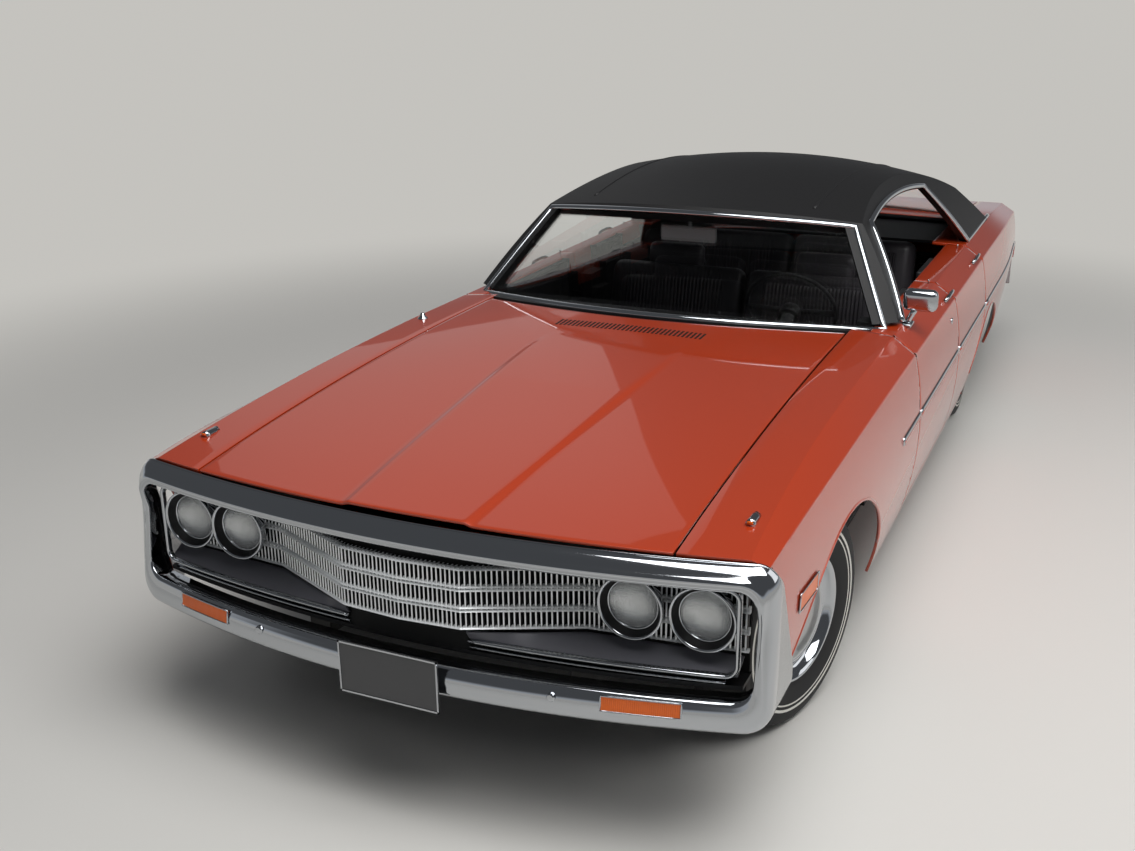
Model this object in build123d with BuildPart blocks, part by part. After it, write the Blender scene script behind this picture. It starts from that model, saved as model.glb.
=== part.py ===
from build123d import *
from collections import namedtuple
import os

os.makedirs("parts", exist_ok=True)

# A full-size four-door hardtop of the early 1970s, in millimetres.
# +X is the car's left, the nose points to -Y and +Z is up; the ground is z = 0.

# Overall sizes
LENGTH = 5705.0
ROOF_TOP = 1402.0
WHEELBASE = 3150.0
FRONT_OVERHANG = 978.0
TRACK = 1577.0
NOSE_Y = -LENGTH / 2
TAIL_Y = LENGTH / 2
FRONT_AXLE_Y = NOSE_Y + FRONT_OVERHANG
REAR_AXLE_Y = FRONT_AXLE_Y + WHEELBASE

# Gaps and wall thicknesses
PANEL_GAP = 7.5
SEAT_GAP = 0.5
FENDER_WALL = 12.0
LID_WALL = 25.0
QUARTER_WALL = 60.0
DOOR_WALL = 100.0
ROOF_WALL = 40.0
GLASS_WALL = 6.0
GLASS_SINK = 5.0
OPEN_BOTTOM = 5.0

REARWARD = (Align.CENTER, Align.MIN, Align.MIN)
UPWARD = (Align.CENTER, Align.CENTER, Align.MIN)


def from_front(distance):
    return FRONT_AXLE_Y + distance


# Lower body: cross sections from nose to tail, each with sill, widest point, crease, shoulder and crown
Section = namedtuple(
    "Section",
    "y sill_x sill_z wide_x wide_z crease_x crease_z shoulder_x shoulder_z crown_z",
)
BODY_SECTIONS = [
    Section(from_front(-890), 895, 400, 945, 620, 951, 820, 918, 834, 858),
    Section(from_front(-600), 915, 330, 968, 615, 960, 848, 902, 872, 886),
    Section(from_front(-100), 935, 250, 992, 605, 968, 868, 887, 915, 924),
    Section(from_front(575), 940, 215, 1003, 595, 970, 875, 885, 937, 966),
    Section(from_front(1175), 940, 210, 1004.5, 590, 970, 876, 885, 938, 985),
    Section(from_front(2300), 940, 210, 1004.5, 590, 970, 877, 885, 939, 985),
    Section(REAR_AXLE_Y, 938, 225, 1003, 590, 969, 877, 884, 939, 968),
    Section(TAIL_Y - 852, 925, 270, 994, 595, 964, 870, 878, 931, 945),
    Section(TAIL_Y - 150, 890, 340, 955, 600, 936, 836, 862, 884, 890),
]


def across(y):
    return Plane(origin=(0, y, 0), x_dir=(1, 0, 0), z_dir=(0, -1, 0))


def lengthwise(x):
    return Plane(origin=(x, 0, 0), x_dir=(0, 1, 0), z_dir=(1, 0, 0))


def body_solid(inset):
    with BuildPart() as body:
        for s in BODY_SECTIONS:
            sill = (s.sill_x - inset, s.sill_z - (OPEN_BOTTOM if inset > 0 else 0))
            wide = (s.wide_x - inset, s.wide_z)
            crease = (s.crease_x - inset, s.crease_z - 0.6 * inset)
            shoulder = (s.shoulder_x - 0.8 * inset, s.shoulder_z - inset)
            crown = (0, s.crown_z - inset)
            with BuildSketch(across(s.y)):
                with BuildLine():
                    Line((-sill[0], sill[1]), sill)
                    ThreePointArc(sill, wide, crease)
                    Line(crease, shoulder)
                    ThreePointArc(shoulder, crown, (-shoulder[0], shoulder[1]))
                    Line((-shoulder[0], shoulder[1]), (-crease[0], crease[1]))
                    ThreePointArc((-crease[0], crease[1]), (-wide[0], wide[1]), (-sill[0], sill[1]))
                make_face()
        loft()
    return body.part


# Greenhouse: curved sides, a roof crowned both ways and raked, bowed glass at each end
BELT_X = 885.0
BELT_Z = 938.0
SIDE_MID_X = 793.0
SIDE_MID_Z = 1098.0
RAIL_X = 655.0
RAIL_Z = 1288.0
ROOF_PEAK_Y = from_front(2175)
ROOF_LONG_R = 4350.0
ROOF_CROSS_R = 3000.0
SHIELD_BASE_Y = from_front(887)
SHIELD_BASE_Z = 970.0
SHIELD_RUN = 448.0
SHIELD_RISE = 345.0
SHIELD_R = 1800.0
BACK_BASE_Y = TAIL_Y - 902.0
BACK_BASE_Z = 955.0
BACK_RUN = 690.0
BACK_RISE = 345.0
BACK_R = 5200.0


def glass_plane(base_y, base_z, run, rise, facing):
    # Plane on the middle of a raked window: local x across the car, local y up along the glass
    slope = Vector(0, facing * run, rise).normalized()
    return Plane(origin=(0, base_y, base_z), x_dir=(1, 0, 0), z_dir=Vector(1, 0, 0).cross(slope))


SHIELD_PLANE = glass_plane(SHIELD_BASE_Y, SHIELD_BASE_Z, SHIELD_RUN, SHIELD_RISE, 1)
BACK_PLANE = glass_plane(BACK_BASE_Y, BACK_BASE_Z, BACK_RUN, BACK_RISE, -1)


def raked_cylinder_plane(glass, radius, facing):
    inward = glass.z_dir * facing
    return Plane(origin=glass.origin + inward * radius, x_dir=(1, 0, 0), z_dir=glass.y_dir)


def greenhouse(inset):
    with BuildPart() as cab:
        with BuildSketch(across(from_front(2300))):
            with BuildLine():
                Polyline((BELT_X - inset, 880), (BELT_X - inset, BELT_Z))
                ThreePointArc(
                    (BELT_X - inset, BELT_Z),
                    (SIDE_MID_X - inset, SIDE_MID_Z),
                    (RAIL_X - inset, RAIL_Z),
                )
                Polyline(
                    (RAIL_X - inset, RAIL_Z),
                    (RAIL_X - inset - 110, RAIL_Z + 140),
                    (-RAIL_X + inset + 110, RAIL_Z + 140),
                    (-RAIL_X + inset, RAIL_Z),
                )
                ThreePointArc(
                    (-RAIL_X + inset, RAIL_Z),
                    (-SIDE_MID_X + inset, SIDE_MID_Z),
                    (-BELT_X + inset, BELT_Z),
                )
                Polyline((-BELT_X + inset, BELT_Z), (-BELT_X + inset, 880), (BELT_X - inset, 880))
            make_face()
        extrude(amount=2500, both=True)
        with BuildSketch(across(ROOF_PEAK_Y)):
            drop = ROOF_CROSS_R - (ROOF_CROSS_R**2 - 1000**2) ** 0.5
            top = ROOF_TOP - inset
            with BuildLine():
                ThreePointArc((-1000, top - drop), (0, top), (1000, top - drop))
                Polyline((1000, top - drop), (1000, 300), (-1000, 300), (-1000, top - drop))
            make_face()
        revolve(axis=Axis((0, ROOF_PEAK_Y, ROOF_TOP - ROOF_LONG_R), (1, 0, 0)), mode=Mode.INTERSECT)
        with BuildSketch(raked_cylinder_plane(SHIELD_PLANE, SHIELD_R, -1)):
            Circle(SHIELD_R - inset)
        extrude(amount=4000, both=True, mode=Mode.INTERSECT)
        with BuildSketch(raked_cylinder_plane(BACK_PLANE, BACK_R, 1)):
            Circle(BACK_R - inset)
        extrude(amount=6000, both=True, mode=Mode.INTERSECT)
    return cab.part



BODY_OUTER = body_solid(0)
CAB_OUTER = greenhouse(0)


def mirrored(part):
    return mirror(part, about=Plane.YZ)


def save(part, name):
    part.label = name
    export_step(part, f"parts/{name}.step")


def side_prism(outline, x_low, x_high):
    # A side-view outline of (y, z) corners carried across the car from x_low to x_high
    with BuildPart() as prism:
        with BuildSketch(lengthwise(x_low)):
            with BuildLine():
                Polyline(*outline, close=True)
            make_face()
        extrude(amount=x_high - x_low)
    return prism.part


# Wheel arches as side-view circles
ARCH_FRONT_R = 647.0
ARCH_FRONT_Z = 43.0
ARCH_REAR_R = 560.0
ARCH_REAR_Z = 40.0


def arch(y, z, radius):
    with BuildPart() as opening:
        with BuildSketch(lengthwise(600)):
            with Locations((y, z)):
                Circle(radius)
        extrude(amount=500)
    return opening.part


FRONT_ARCH = arch(FRONT_AXLE_Y, ARCH_FRONT_Z, ARCH_FRONT_R)
REAR_ARCH = arch(REAR_AXLE_Y, ARCH_REAR_Z, ARCH_REAR_R)

# Shut lines: hood and trunk lid half width, door edges seen from the side, shut faces leaning inside
HOOD_HALF = 725.0
HOOD_FRONT_Y = from_front(-860)
HOOD_FRONT_CORNER_Y = from_front(-795)
HOOD_REAR_Y = from_front(860)
HOOD_REAR_CORNER_Y = from_front(1030)
DOOR_LEAD_Y = from_front(1115)
DOOR_SPLIT_Y = from_front(2045)
DOOR_TRAIL_Y = from_front(2905)
DOOR_BOTTOM_Z = 300.0
DOOR_DOGLEG_Z = 640.0
DOOR_DOGLEG_RUN = 300.0
SHUT_LEAN = 0.13
DOOR_PLAN_IN = 785.0
DOOR_PLAN_OUT = 1020.0
LID_FRONT_Y = TAIL_Y - 880.0
LID_REAR_Y = TAIL_Y - 165.0
FENDER_NOSE_TOP_Y = from_front(-745)
FENDER_NOSE_LOW_Y = from_front(-560)
FENDER_NOSE_TOP_Z = 850.0
FENDER_NOSE_LOW_Z = 500.0


def leaning_prism(outline, lean_flags):
    # A side-view outline whose flagged corners sit further forward at the inner plane
    shift = SHUT_LEAN * (DOOR_PLAN_OUT - DOOR_PLAN_IN)
    with BuildPart() as prism:
        with BuildSketch(lengthwise(DOOR_PLAN_OUT)):
            with BuildLine():
                Polyline(*outline, close=True)
            make_face()
        with BuildSketch(lengthwise(DOOR_PLAN_IN)):
            with BuildLine():
                Polyline(*[(y - shift * flag, z) for (y, z), flag in zip(outline, lean_flags)], close=True)
            make_face()
        loft(ruled=True)
    return prism.part


def front_door_outline(grow):
    return [
        (DOOR_LEAD_Y - grow, 1100),
        (DOOR_LEAD_Y - grow, DOOR_BOTTOM_Z - grow),
        (DOOR_SPLIT_Y + grow, DOOR_BOTTOM_Z - grow),
        (DOOR_SPLIT_Y + grow, 1100),
    ]


def rear_door_outline(grow):
    return [
        (DOOR_SPLIT_Y + PANEL_GAP - grow, 1100),
        (DOOR_SPLIT_Y + PANEL_GAP - grow, DOOR_BOTTOM_Z - grow),
        (DOOR_TRAIL_Y - DOOR_DOGLEG_RUN + 1.3 * grow, DOOR_BOTTOM_Z - grow),
        (DOOR_TRAIL_Y + grow, DOOR_DOGLEG_Z),
        (DOOR_TRAIL_Y + grow, 1100),
    ]


FRONT_DOOR_PRISM = leaning_prism(front_door_outline(0), (0, 0, 1, 1))
REAR_DOOR_PRISM = leaning_prism(rear_door_outline(0), (1, 1, 1, 1, 1))
REAR_DOOR_SPACE = leaning_prism(rear_door_outline(PANEL_GAP), (1, 1, 1, 1, 1))

# Door hinges: pins on a vertical line near the widest point, held by straps from the posts
HINGE_BACK = 90.0
HINGE_IN = 25.0
HINGE_X = 1004.5 - HINGE_IN
HINGE_Z = (500.0, 720.0)
HINGE_PIN_R = 5.0
HINGE_RING_R = 9.0
HINGE_BORE_GAP = 0.3
HINGE_HALF_HEIGHT = 20.0
NOTCH_HALF_HEIGHT = 26.0
NOTCH_REACH = 11.0
POST_FACE_X = 838.0
POST_NOTCH_X = 850.0
POST_NOTCH_Z = 800.0
POST_NOTCH_RUN = 165.0
POST_TOP_X = 812.0

door_shell = BODY_OUTER - body_solid(DOOR_WALL)


def make_door(prism, lead_y, post_run):
    hinge_y = lead_y + HINGE_BACK
    with BuildPart() as door:
        add(door_shell)
        add(prism, mode=Mode.INTERSECT)
        if post_run > 0:
            with Locations((POST_NOTCH_X, lead_y + post_run, POST_NOTCH_Z)):
                Box(300, 400, 400, align=(Align.MAX, Align.MAX, Align.MIN), mode=Mode.SUBTRACT)
        for z in HINGE_Z:
            with Locations((HINGE_X + NOTCH_REACH, hinge_y + NOTCH_REACH, z)):
                Box(
                    300,
                    HINGE_BACK + NOTCH_REACH + 60,
                    2 * NOTCH_HALF_HEIGHT,
                    align=(Align.MAX, Align.MAX, Align.CENTER),
                    mode=Mode.SUBTRACT,
                )
            with Locations((HINGE_X, hinge_y, z)):
                Cylinder(HINGE_PIN_R, 2 * NOTCH_HALF_HEIGHT)
    return door.part


door_front_left = make_door(FRONT_DOOR_PRISM, DOOR_LEAD_Y, POST_NOTCH_RUN)
door_rear_left = make_door(REAR_DOOR_PRISM, DOOR_SPLIT_Y + PANEL_GAP, 0)
save(door_front_left, "door_front_left")
save(mirrored(door_front_left), "door_front_right")
save(door_rear_left, "door_rear_left")
save(mirrored(door_rear_left), "door_rear_right")

# Hood, fenders, cowl
fender_shell = BODY_OUTER - body_solid(FENDER_WALL)
lid_shell = BODY_OUTER - body_solid(LID_WALL)
FENDER_PLAN_X = 957.0


def nose_plan(grow, half):
    # Plan outline behind the bowed front edge of hood and fenders, moved forward by grow
    edge = FENDER_NOSE_TOP_Y + (HOOD_FRONT_Y - FENDER_NOSE_TOP_Y) * (1 - (half / FENDER_PLAN_X) ** 2)
    with BuildPart() as plan:
        with BuildSketch(Plane.XY):
            with BuildLine():
                ThreePointArc((-half, edge - grow), (0, HOOD_FRONT_Y - grow), (half, edge - grow))
                Polyline(
                    (half, edge - grow),
                    (half, from_front(1500)),
                    (-half, from_front(1500)),
                    (-half, edge - grow),
                )
            make_face()
        extrude(amount=1200)
    return plan.part


HOOD_PIN_INSET = 35.0
HOOD_PIN_X = HOOD_HALF - HOOD_PIN_INSET
HOOD_PIN_Y = HOOD_REAR_CORNER_Y - 45.0
HOOD_PIN_Z = 936.0
HOOD_PIN_R = 5.0
HOOD_RING_R = 8.0
HOOD_NOTCH_WIDE = 40.0
HOOD_NOTCH_AHEAD = 14.0
HOOD_NOTCH_TOP_Z = 947.5
HOOD_BRACKET_WIDE = 20.0
HOOD_BRACKET_DROP = 146.0
with BuildPart() as hood:
    add(lid_shell)
    with BuildSketch(Plane.XY.offset(600)):
        with BuildLine():
            ThreePointArc(
                (-HOOD_HALF, HOOD_FRONT_CORNER_Y), (0, HOOD_FRONT_Y), (HOOD_HALF, HOOD_FRONT_CORNER_Y)
            )
            Line((HOOD_HALF, HOOD_FRONT_CORNER_Y), (HOOD_HALF, HOOD_REAR_CORNER_Y))
            ThreePointArc((HOOD_HALF, HOOD_REAR_CORNER_Y), (0, HOOD_REAR_Y), (-HOOD_HALF, HOOD_REAR_CORNER_Y))
            Line((-HOOD_HALF, HOOD_REAR_CORNER_Y), (-HOOD_HALF, HOOD_FRONT_CORNER_Y))
        make_face()
    extrude(amount=600, mode=Mode.INTERSECT)
    for side in (-1, 1):
        with Locations((side * HOOD_PIN_X, HOOD_PIN_Y - HOOD_NOTCH_AHEAD, HOOD_NOTCH_TOP_Z)):
            Box(HOOD_NOTCH_WIDE, 100, 100, align=(Align.CENTER, Align.MIN, Align.MAX), mode=Mode.SUBTRACT)
        with Locations((side * HOOD_PIN_X, HOOD_PIN_Y, HOOD_PIN_Z)):
            Cylinder(HOOD_PIN_R, HOOD_NOTCH_WIDE + 20, rotation=(0, 90, 0))
save(hood.part, "hood")

FENDER_SIDE = side_prism(
    [
        (NOSE_Y, 1100),
        (NOSE_Y, FENDER_NOSE_TOP_Z),
        (FENDER_NOSE_TOP_Y + PANEL_GAP, FENDER_NOSE_TOP_Z),
        (FENDER_NOSE_LOW_Y, FENDER_NOSE_LOW_Z),
        (FENDER_NOSE_LOW_Y, 150),
        (DOOR_LEAD_Y - PANEL_GAP, 150),
        (DOOR_LEAD_Y - PANEL_GAP, 1100),
    ],
    HOOD_HALF + PANEL_GAP,
    1100,
)
NOSE_PLAN = nose_plan(0, FENDER_PLAN_X + 40)
with BuildPart() as fender:
    add(fender_shell)
    add(FENDER_SIDE, mode=Mode.INTERSECT)
    add(NOSE_PLAN, mode=Mode.INTERSECT)
    add(FRONT_ARCH, mode=Mode.SUBTRACT)
save(fender.part, "front_fender_left")
save(mirrored(fender.part), "front_fender_right")

# Roof with its pillars, cut by the windows
SHIELD_GLASS = [(800, 205), (610, 622), 12, 532]
BACK_GLASS = [(690, 75), (560, 640), 20, 690]
SIDE_WINDOW = [
    (from_front(1245), 880),
    (from_front(1592), 1258),
    (from_front(2120), 1286),
    (from_front(2712), 1243),
    (from_front(3052), 880),
]


def glass_prism(plane, corners, shrink):
    (low_x, low_s), (high_x, high_s), low_mid, high_mid = corners
    low_x = low_x - shrink
    high_x = high_x - shrink
    low_s = low_s + shrink
    low_mid = low_mid + shrink
    high_s = high_s - shrink
    high_mid = high_mid - shrink
    with BuildPart() as prism:
        with BuildSketch(plane):
            with BuildLine():
                ThreePointArc((-low_x, low_s), (0, low_mid), (low_x, low_s))
                Line((low_x, low_s), (high_x, high_s))
                ThreePointArc((high_x, high_s), (0, high_mid), (-high_x, high_s))
                Line((-high_x, high_s), (-low_x, low_s))
            make_face()
        extrude(amount=450, both=True)
    return prism.part


def side_window():
    foot, front_top, mid_top, rear_top, heel = SIDE_WINDOW
    with BuildPart() as prism:
        with BuildSketch(lengthwise(300)):
            with BuildLine():
                Line(foot, front_top)
                ThreePointArc(front_top, mid_top, rear_top)
                Polyline(rear_top, heel, foot)
            make_face()
        extrude(amount=800)
    return prism.part


cab_glass = greenhouse(GLASS_SINK) - greenhouse(GLASS_SINK + GLASS_WALL)
cab_shell = CAB_OUTER - greenhouse(ROOF_WALL)
WINDOW_LEFT = side_window()
WINDOW_RIGHT = mirrored(WINDOW_LEFT)
SHIELD_HOLE = glass_prism(SHIELD_PLANE, SHIELD_GLASS, 0)
SHIELD_PANE = glass_prism(SHIELD_PLANE, SHIELD_GLASS, SEAT_GAP)
BACK_HOLE = glass_prism(BACK_PLANE, BACK_GLASS, 0)
BACK_PANE = glass_prism(BACK_PLANE, BACK_GLASS, SEAT_GAP)
with BuildPart() as roof:
    add(cab_shell)
    for tool in (BODY_OUTER, SHIELD_HOLE, BACK_HOLE, WINDOW_LEFT, WINDOW_RIGHT):
        add(tool, mode=Mode.SUBTRACT)
    with Locations((0, DOOR_LEAD_Y - PANEL_GAP, BELT_Z)):
        Box(2200, 200, 5 * PANEL_GAP, align=(Align.CENTER, Align.MIN, Align.CENTER), mode=Mode.SUBTRACT)
    with Locations((0, LID_FRONT_Y - PANEL_GAP - 14, BELT_Z)):
        Box(2 * (HOOD_HALF + PANEL_GAP), 200, 200, align=(Align.CENTER, Align.MIN, Align.CENTER), mode=Mode.SUBTRACT)
save(roof.part, "roof")
with BuildPart() as windshield:
    add(cab_glass)
    add(SHIELD_PANE, mode=Mode.INTERSECT)
    add(BODY_OUTER, mode=Mode.SUBTRACT)
save(windshield.part, "windshield")
with BuildPart() as rear_window:
    add(cab_glass)
    add(BACK_PANE, mode=Mode.INTERSECT)
    add(BODY_OUTER, mode=Mode.SUBTRACT)
save(rear_window.part, "rear_window")

# Door posts with the hinge straps, sills
FLOOR_LOW = 212.0
FLOOR_TOP = 240.0
SILL_IN = 790.0
POST_IN = 732.5
POST_TOP_Z = BELT_Z + 2.5 * PANEL_GAP
POST_NECK_RUN = 80.0
BPOST_IN = 690.0
BPOST_FACE_X = 744.0
BPOST_TOP_Z = 860.0
with BuildPart() as a_post:
    with Locations((POST_IN, DOOR_LEAD_Y - 90, DOOR_BOTTOM_Z - PANEL_GAP)):
        Box(
            POST_FACE_X - POST_IN,
            215,
            POST_NOTCH_Z - 20 - DOOR_BOTTOM_Z + PANEL_GAP,
            align=(Align.MIN, Align.MIN, Align.MIN),
        )
    with Locations((POST_IN, DOOR_LEAD_Y + POST_NOTCH_RUN - 5, POST_NOTCH_Z - 20)):
        Box(
            POST_TOP_X - POST_IN,
            POST_NECK_RUN,
            POST_TOP_Z - POST_NOTCH_Z + 20,
            align=(Align.MIN, Align.MAX, Align.MIN),
        )
with BuildPart() as b_post:
    with Locations((BPOST_IN, DOOR_SPLIT_Y - 70, FLOOR_TOP)):
        Box(BPOST_FACE_X - BPOST_IN, 150, BPOST_TOP_Z - FLOOR_TOP, align=(Align.MIN, Align.MIN, Align.MIN))
posts = [a_post.part, b_post.part]
save(Compound(children=posts + [mirrored(p) for p in posts]), "door_posts")


def make_strap(lead_y, post_x, z):
    hinge_y = lead_y + HINGE_BACK
    with BuildPart() as strap:
        with BuildSketch(Plane.XY.offset(z - HINGE_HALF_HEIGHT)):
            with BuildLine():
                Polyline(
                    (HINGE_X, hinge_y - 5),
                    (post_x, hinge_y - 40),
                    (post_x, hinge_y - 65),
                    (HINGE_X - 8, hinge_y - 8),
                    close=True,
                )
            make_face()
            with Locations((HINGE_X, hinge_y)):
                Circle(HINGE_RING_R)
                Circle(HINGE_PIN_R + HINGE_BORE_GAP, mode=Mode.SUBTRACT)
        extrude(amount=2 * HINGE_HALF_HEIGHT)
    return strap.part


straps = []
for lead, face in ((DOOR_LEAD_Y, POST_FACE_X), (DOOR_SPLIT_Y + PANEL_GAP, BPOST_FACE_X)):
    for z in HINGE_Z:
        left = make_strap(lead, face, z)
        straps += [left, mirrored(left)]
save(Compound(children=straps), "door_hinges")

with BuildPart() as rocker:
    add(BODY_OUTER)
    with Locations((SILL_IN, DOOR_LEAD_Y - PANEL_GAP, 0)):
        Box(
            400,
            DOOR_TRAIL_Y - DOOR_DOGLEG_RUN - DOOR_LEAD_Y,
            DOOR_BOTTOM_Z - PANEL_GAP,
            align=(Align.MIN, Align.MIN, Align.MIN),
            mode=Mode.INTERSECT,
        )
    add(REAR_ARCH, mode=Mode.SUBTRACT)
save(Compound(children=[rocker.part, mirrored(rocker.part)]), "rockers")

# Quarter panels, tail, trunk lid, shelf
quarter_shell = BODY_OUTER - body_solid(QUARTER_WALL)
QUARTER_SIDE = side_prism(
    [(DOOR_SPLIT_Y + 300, 100), (TAIL_Y, 100), (TAIL_Y, 1200), (DOOR_SPLIT_Y + 300, 1200)],
    HOOD_HALF + PANEL_GAP,
    1100,
)
DOOR_AHEAD = side_prism(
    [
        (DOOR_SPLIT_Y, 100),
        (DOOR_TRAIL_Y - DOOR_DOGLEG_RUN - PANEL_GAP, 100),
        (DOOR_TRAIL_Y - DOOR_DOGLEG_RUN - PANEL_GAP, DOOR_BOTTOM_Z + 20),
        (DOOR_TRAIL_Y - 80, DOOR_DOGLEG_Z),
        (DOOR_TRAIL_Y - 80, 1200),
        (DOOR_SPLIT_Y, 1200),
    ],
    500,
    1100,
)
with BuildPart() as quarter:
    add(quarter_shell)
    add(QUARTER_SIDE, mode=Mode.INTERSECT)
    add(REAR_DOOR_SPACE, mode=Mode.SUBTRACT)
    add(DOOR_AHEAD, mode=Mode.SUBTRACT)
    add(REAR_ARCH, mode=Mode.SUBTRACT)
save(quarter.part, "quarter_panel_left")
save(mirrored(quarter.part), "quarter_panel_right")

LID_GAP = 14.0
LID_PIN_X = 560.0
LID_PIN_Z = 932.0
LID_PIN_BACK = 8.0
LID_PIN_R = 5.0
LID_RING_R = 9.0
LID_NOTCH_WIDE = 40.0
LID_NOTCH_RUN = 22.0
LID_TAB_WIDE = 24.0
with BuildPart() as trunk_lid:
    add(lid_shell)
    with Locations((0, LID_FRONT_Y, 600)):
        Box(2 * HOOD_HALF, LID_REAR_Y - LID_FRONT_Y, 600, align=REARWARD, mode=Mode.INTERSECT)
    for side in (-1, 1):
        with Locations((side * LID_PIN_X, LID_FRONT_Y, LID_PIN_Z)):
            Box(LID_NOTCH_WIDE, 2 * LID_NOTCH_RUN, 200, mode=Mode.SUBTRACT)
        with Locations((side * LID_PIN_X, LID_FRONT_Y + LID_PIN_BACK, LID_PIN_Z)):
            Cylinder(LID_PIN_R, LID_NOTCH_WIDE + 10, rotation=(0, 90, 0))
save(trunk_lid.part, "trunk_lid")

TAIL_PANEL_WALL = 30.0
body_tail = body_solid(QUARTER_WALL)
with BuildPart() as tail_panel:
    add(body_tail)
    with Locations((0, TAIL_Y - 150, 560)):
        Box(3000, TAIL_PANEL_WALL, 600, align=(Align.CENTER, Align.MAX, Align.MIN), mode=Mode.INTERSECT)
save(tail_panel.part, "tail_panel")

SHELF_Z = 905.0
deck_shell = BODY_OUTER - body_solid(FENDER_WALL)
with BuildPart() as rear_shelf:
    add(deck_shell)
    with Locations((0, LID_FRONT_Y - LID_GAP, 600)):
        Box(
            2 * (HOOD_HALF + PANEL_GAP),
            260,
            600,
            align=(Align.CENTER, Align.MAX, Align.MIN),
            mode=Mode.INTERSECT,
        )
    with Locations((0, LID_FRONT_Y - LID_GAP - 200, SHELF_Z)):
        Box(2 * HOOD_HALF, 560, 14, align=(Align.CENTER, Align.MAX, Align.MIN))
    with Locations((0, LID_FRONT_Y - LID_GAP - 200, SHELF_Z)):
        Box(2 * HOOD_HALF, 20, 28, align=REARWARD)
    for side in (-1, 1):
        with BuildSketch(lengthwise(side * LID_PIN_X - LID_TAB_WIDE / 2)):
            with Locations((LID_FRONT_Y - LID_GAP, LID_PIN_Z)):
                Rectangle(2 * (LID_GAP + LID_PIN_BACK), 10)
            with Locations((LID_FRONT_Y + LID_PIN_BACK, LID_PIN_Z)):
                Circle(LID_RING_R)
                Circle(LID_PIN_R + HINGE_BORE_GAP, mode=Mode.SUBTRACT)
        extrude(amount=LID_TAB_WIDE)
save(rear_shelf.part, "rear_shelf")

# Firewall with the cowl, and the engine bay walls
RAIL_MID = 430.0
RAIL_WIDE = 70.0
RAIL_LOW = 330.0
RAIL_HIGH = 430.0
COWL_GAP = 32.0
COWL_SPAN = 72.0
FIREWALL_BACK = 54.0
FIREWALL_WALL = 20.0
TUNNEL_HALF = 150.0
TUNNEL_TOP = 420.0
TUNNEL_WALL = 12.0


def cowl_band(shift, depth, half, low, high):
    # A plan band that follows the rear edge of the hood, shifted back and carried from low to high
    with BuildPart() as band:
        with BuildSketch(Plane.XY.offset(low)):
            with BuildLine():
                ThreePointArc(
                    (-half, HOOD_REAR_CORNER_Y + shift),
                    (0, HOOD_REAR_Y + shift),
                    (half, HOOD_REAR_CORNER_Y + shift),
                )
                Line((half, HOOD_REAR_CORNER_Y + shift), (half, HOOD_REAR_CORNER_Y + shift + depth))
                ThreePointArc(
                    (half, HOOD_REAR_CORNER_Y + shift + depth),
                    (0, HOOD_REAR_Y + shift + depth),
                    (-half, HOOD_REAR_CORNER_Y + shift + depth),
                )
                Line((-half, HOOD_REAR_CORNER_Y + shift + depth), (-half, HOOD_REAR_CORNER_Y + shift))
            make_face()
        extrude(amount=high - low)
    return band.part


COWL_STRIP = cowl_band(COWL_GAP, COWL_SPAN, HOOD_HALF + PANEL_GAP, 700, 1200)
FIREWALL_BAND = cowl_band(FIREWALL_BACK, FIREWALL_WALL, POST_IN, FLOOR_TOP, 1200)
body_thin = body_solid(FENDER_WALL / 2)
with BuildPart() as cowl_top:
    add(fender_shell)
    add(COWL_STRIP, mode=Mode.INTERSECT)
with BuildPart() as firewall:
    add(body_thin)
    add(FIREWALL_BAND, mode=Mode.INTERSECT)
    with Locations((0, HOOD_REAR_Y, FLOOR_TOP)):
        Box(2 * TUNNEL_HALF, 400, 2 * (TUNNEL_TOP - FLOOR_TOP), mode=Mode.SUBTRACT)
    for side in (-1, 1):
        with Locations((side * RAIL_MID, HOOD_REAR_Y, FLOOR_TOP)):
            Box(RAIL_WIDE, 600, 2 * (RAIL_HIGH - FLOOR_TOP), mode=Mode.SUBTRACT)
    add(cowl_top.part)
    for side in (-1, 1):
        with BuildSketch(lengthwise(side * HOOD_PIN_X - HOOD_BRACKET_WIDE / 2)):
            with BuildLine():
                Polyline(
                    (HOOD_PIN_Y - HOOD_RING_R, HOOD_PIN_Z),
                    (HOOD_PIN_Y + HOOD_RING_R, HOOD_PIN_Z),
                    (HOOD_PIN_Y + HOOD_RING_R, HOOD_PIN_Z - HOOD_BRACKET_DROP),
                    (HOOD_PIN_Y + 100, HOOD_PIN_Z - HOOD_BRACKET_DROP),
                    (HOOD_PIN_Y + 100, HOOD_PIN_Z - HOOD_BRACKET_DROP - 30),
                    (HOOD_PIN_Y - HOOD_RING_R, HOOD_PIN_Z - HOOD_BRACKET_DROP - 30),
                    close=True,
                )
            make_face()
            with Locations((HOOD_PIN_Y, HOOD_PIN_Z)):
                Circle(HOOD_RING_R)
                Circle(HOOD_PIN_R + HINGE_BORE_GAP, mode=Mode.SUBTRACT)
        extrude(amount=HOOD_BRACKET_WIDE)
save(firewall.part, "firewall")

RADIATOR_Y = from_front(-680)
APRON_WALL = 10.0
APRON_TOP = 800.0
with BuildPart() as aprons:
    for side in (-1, 1):
        with Locations((side * (RAIL_MID - 25), RADIATOR_Y, RAIL_HIGH)):
            Box(APRON_WALL, HOOD_REAR_Y + 80 - RADIATOR_Y, APRON_TOP - RAIL_HIGH, align=REARWARD)
    with Locations((0, RADIATOR_Y, RAIL_HIGH)):
        Box(1780, 40, APRON_TOP - RAIL_HIGH, align=REARWARD)
save(aprons.part, "engine_bay_walls")

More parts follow.
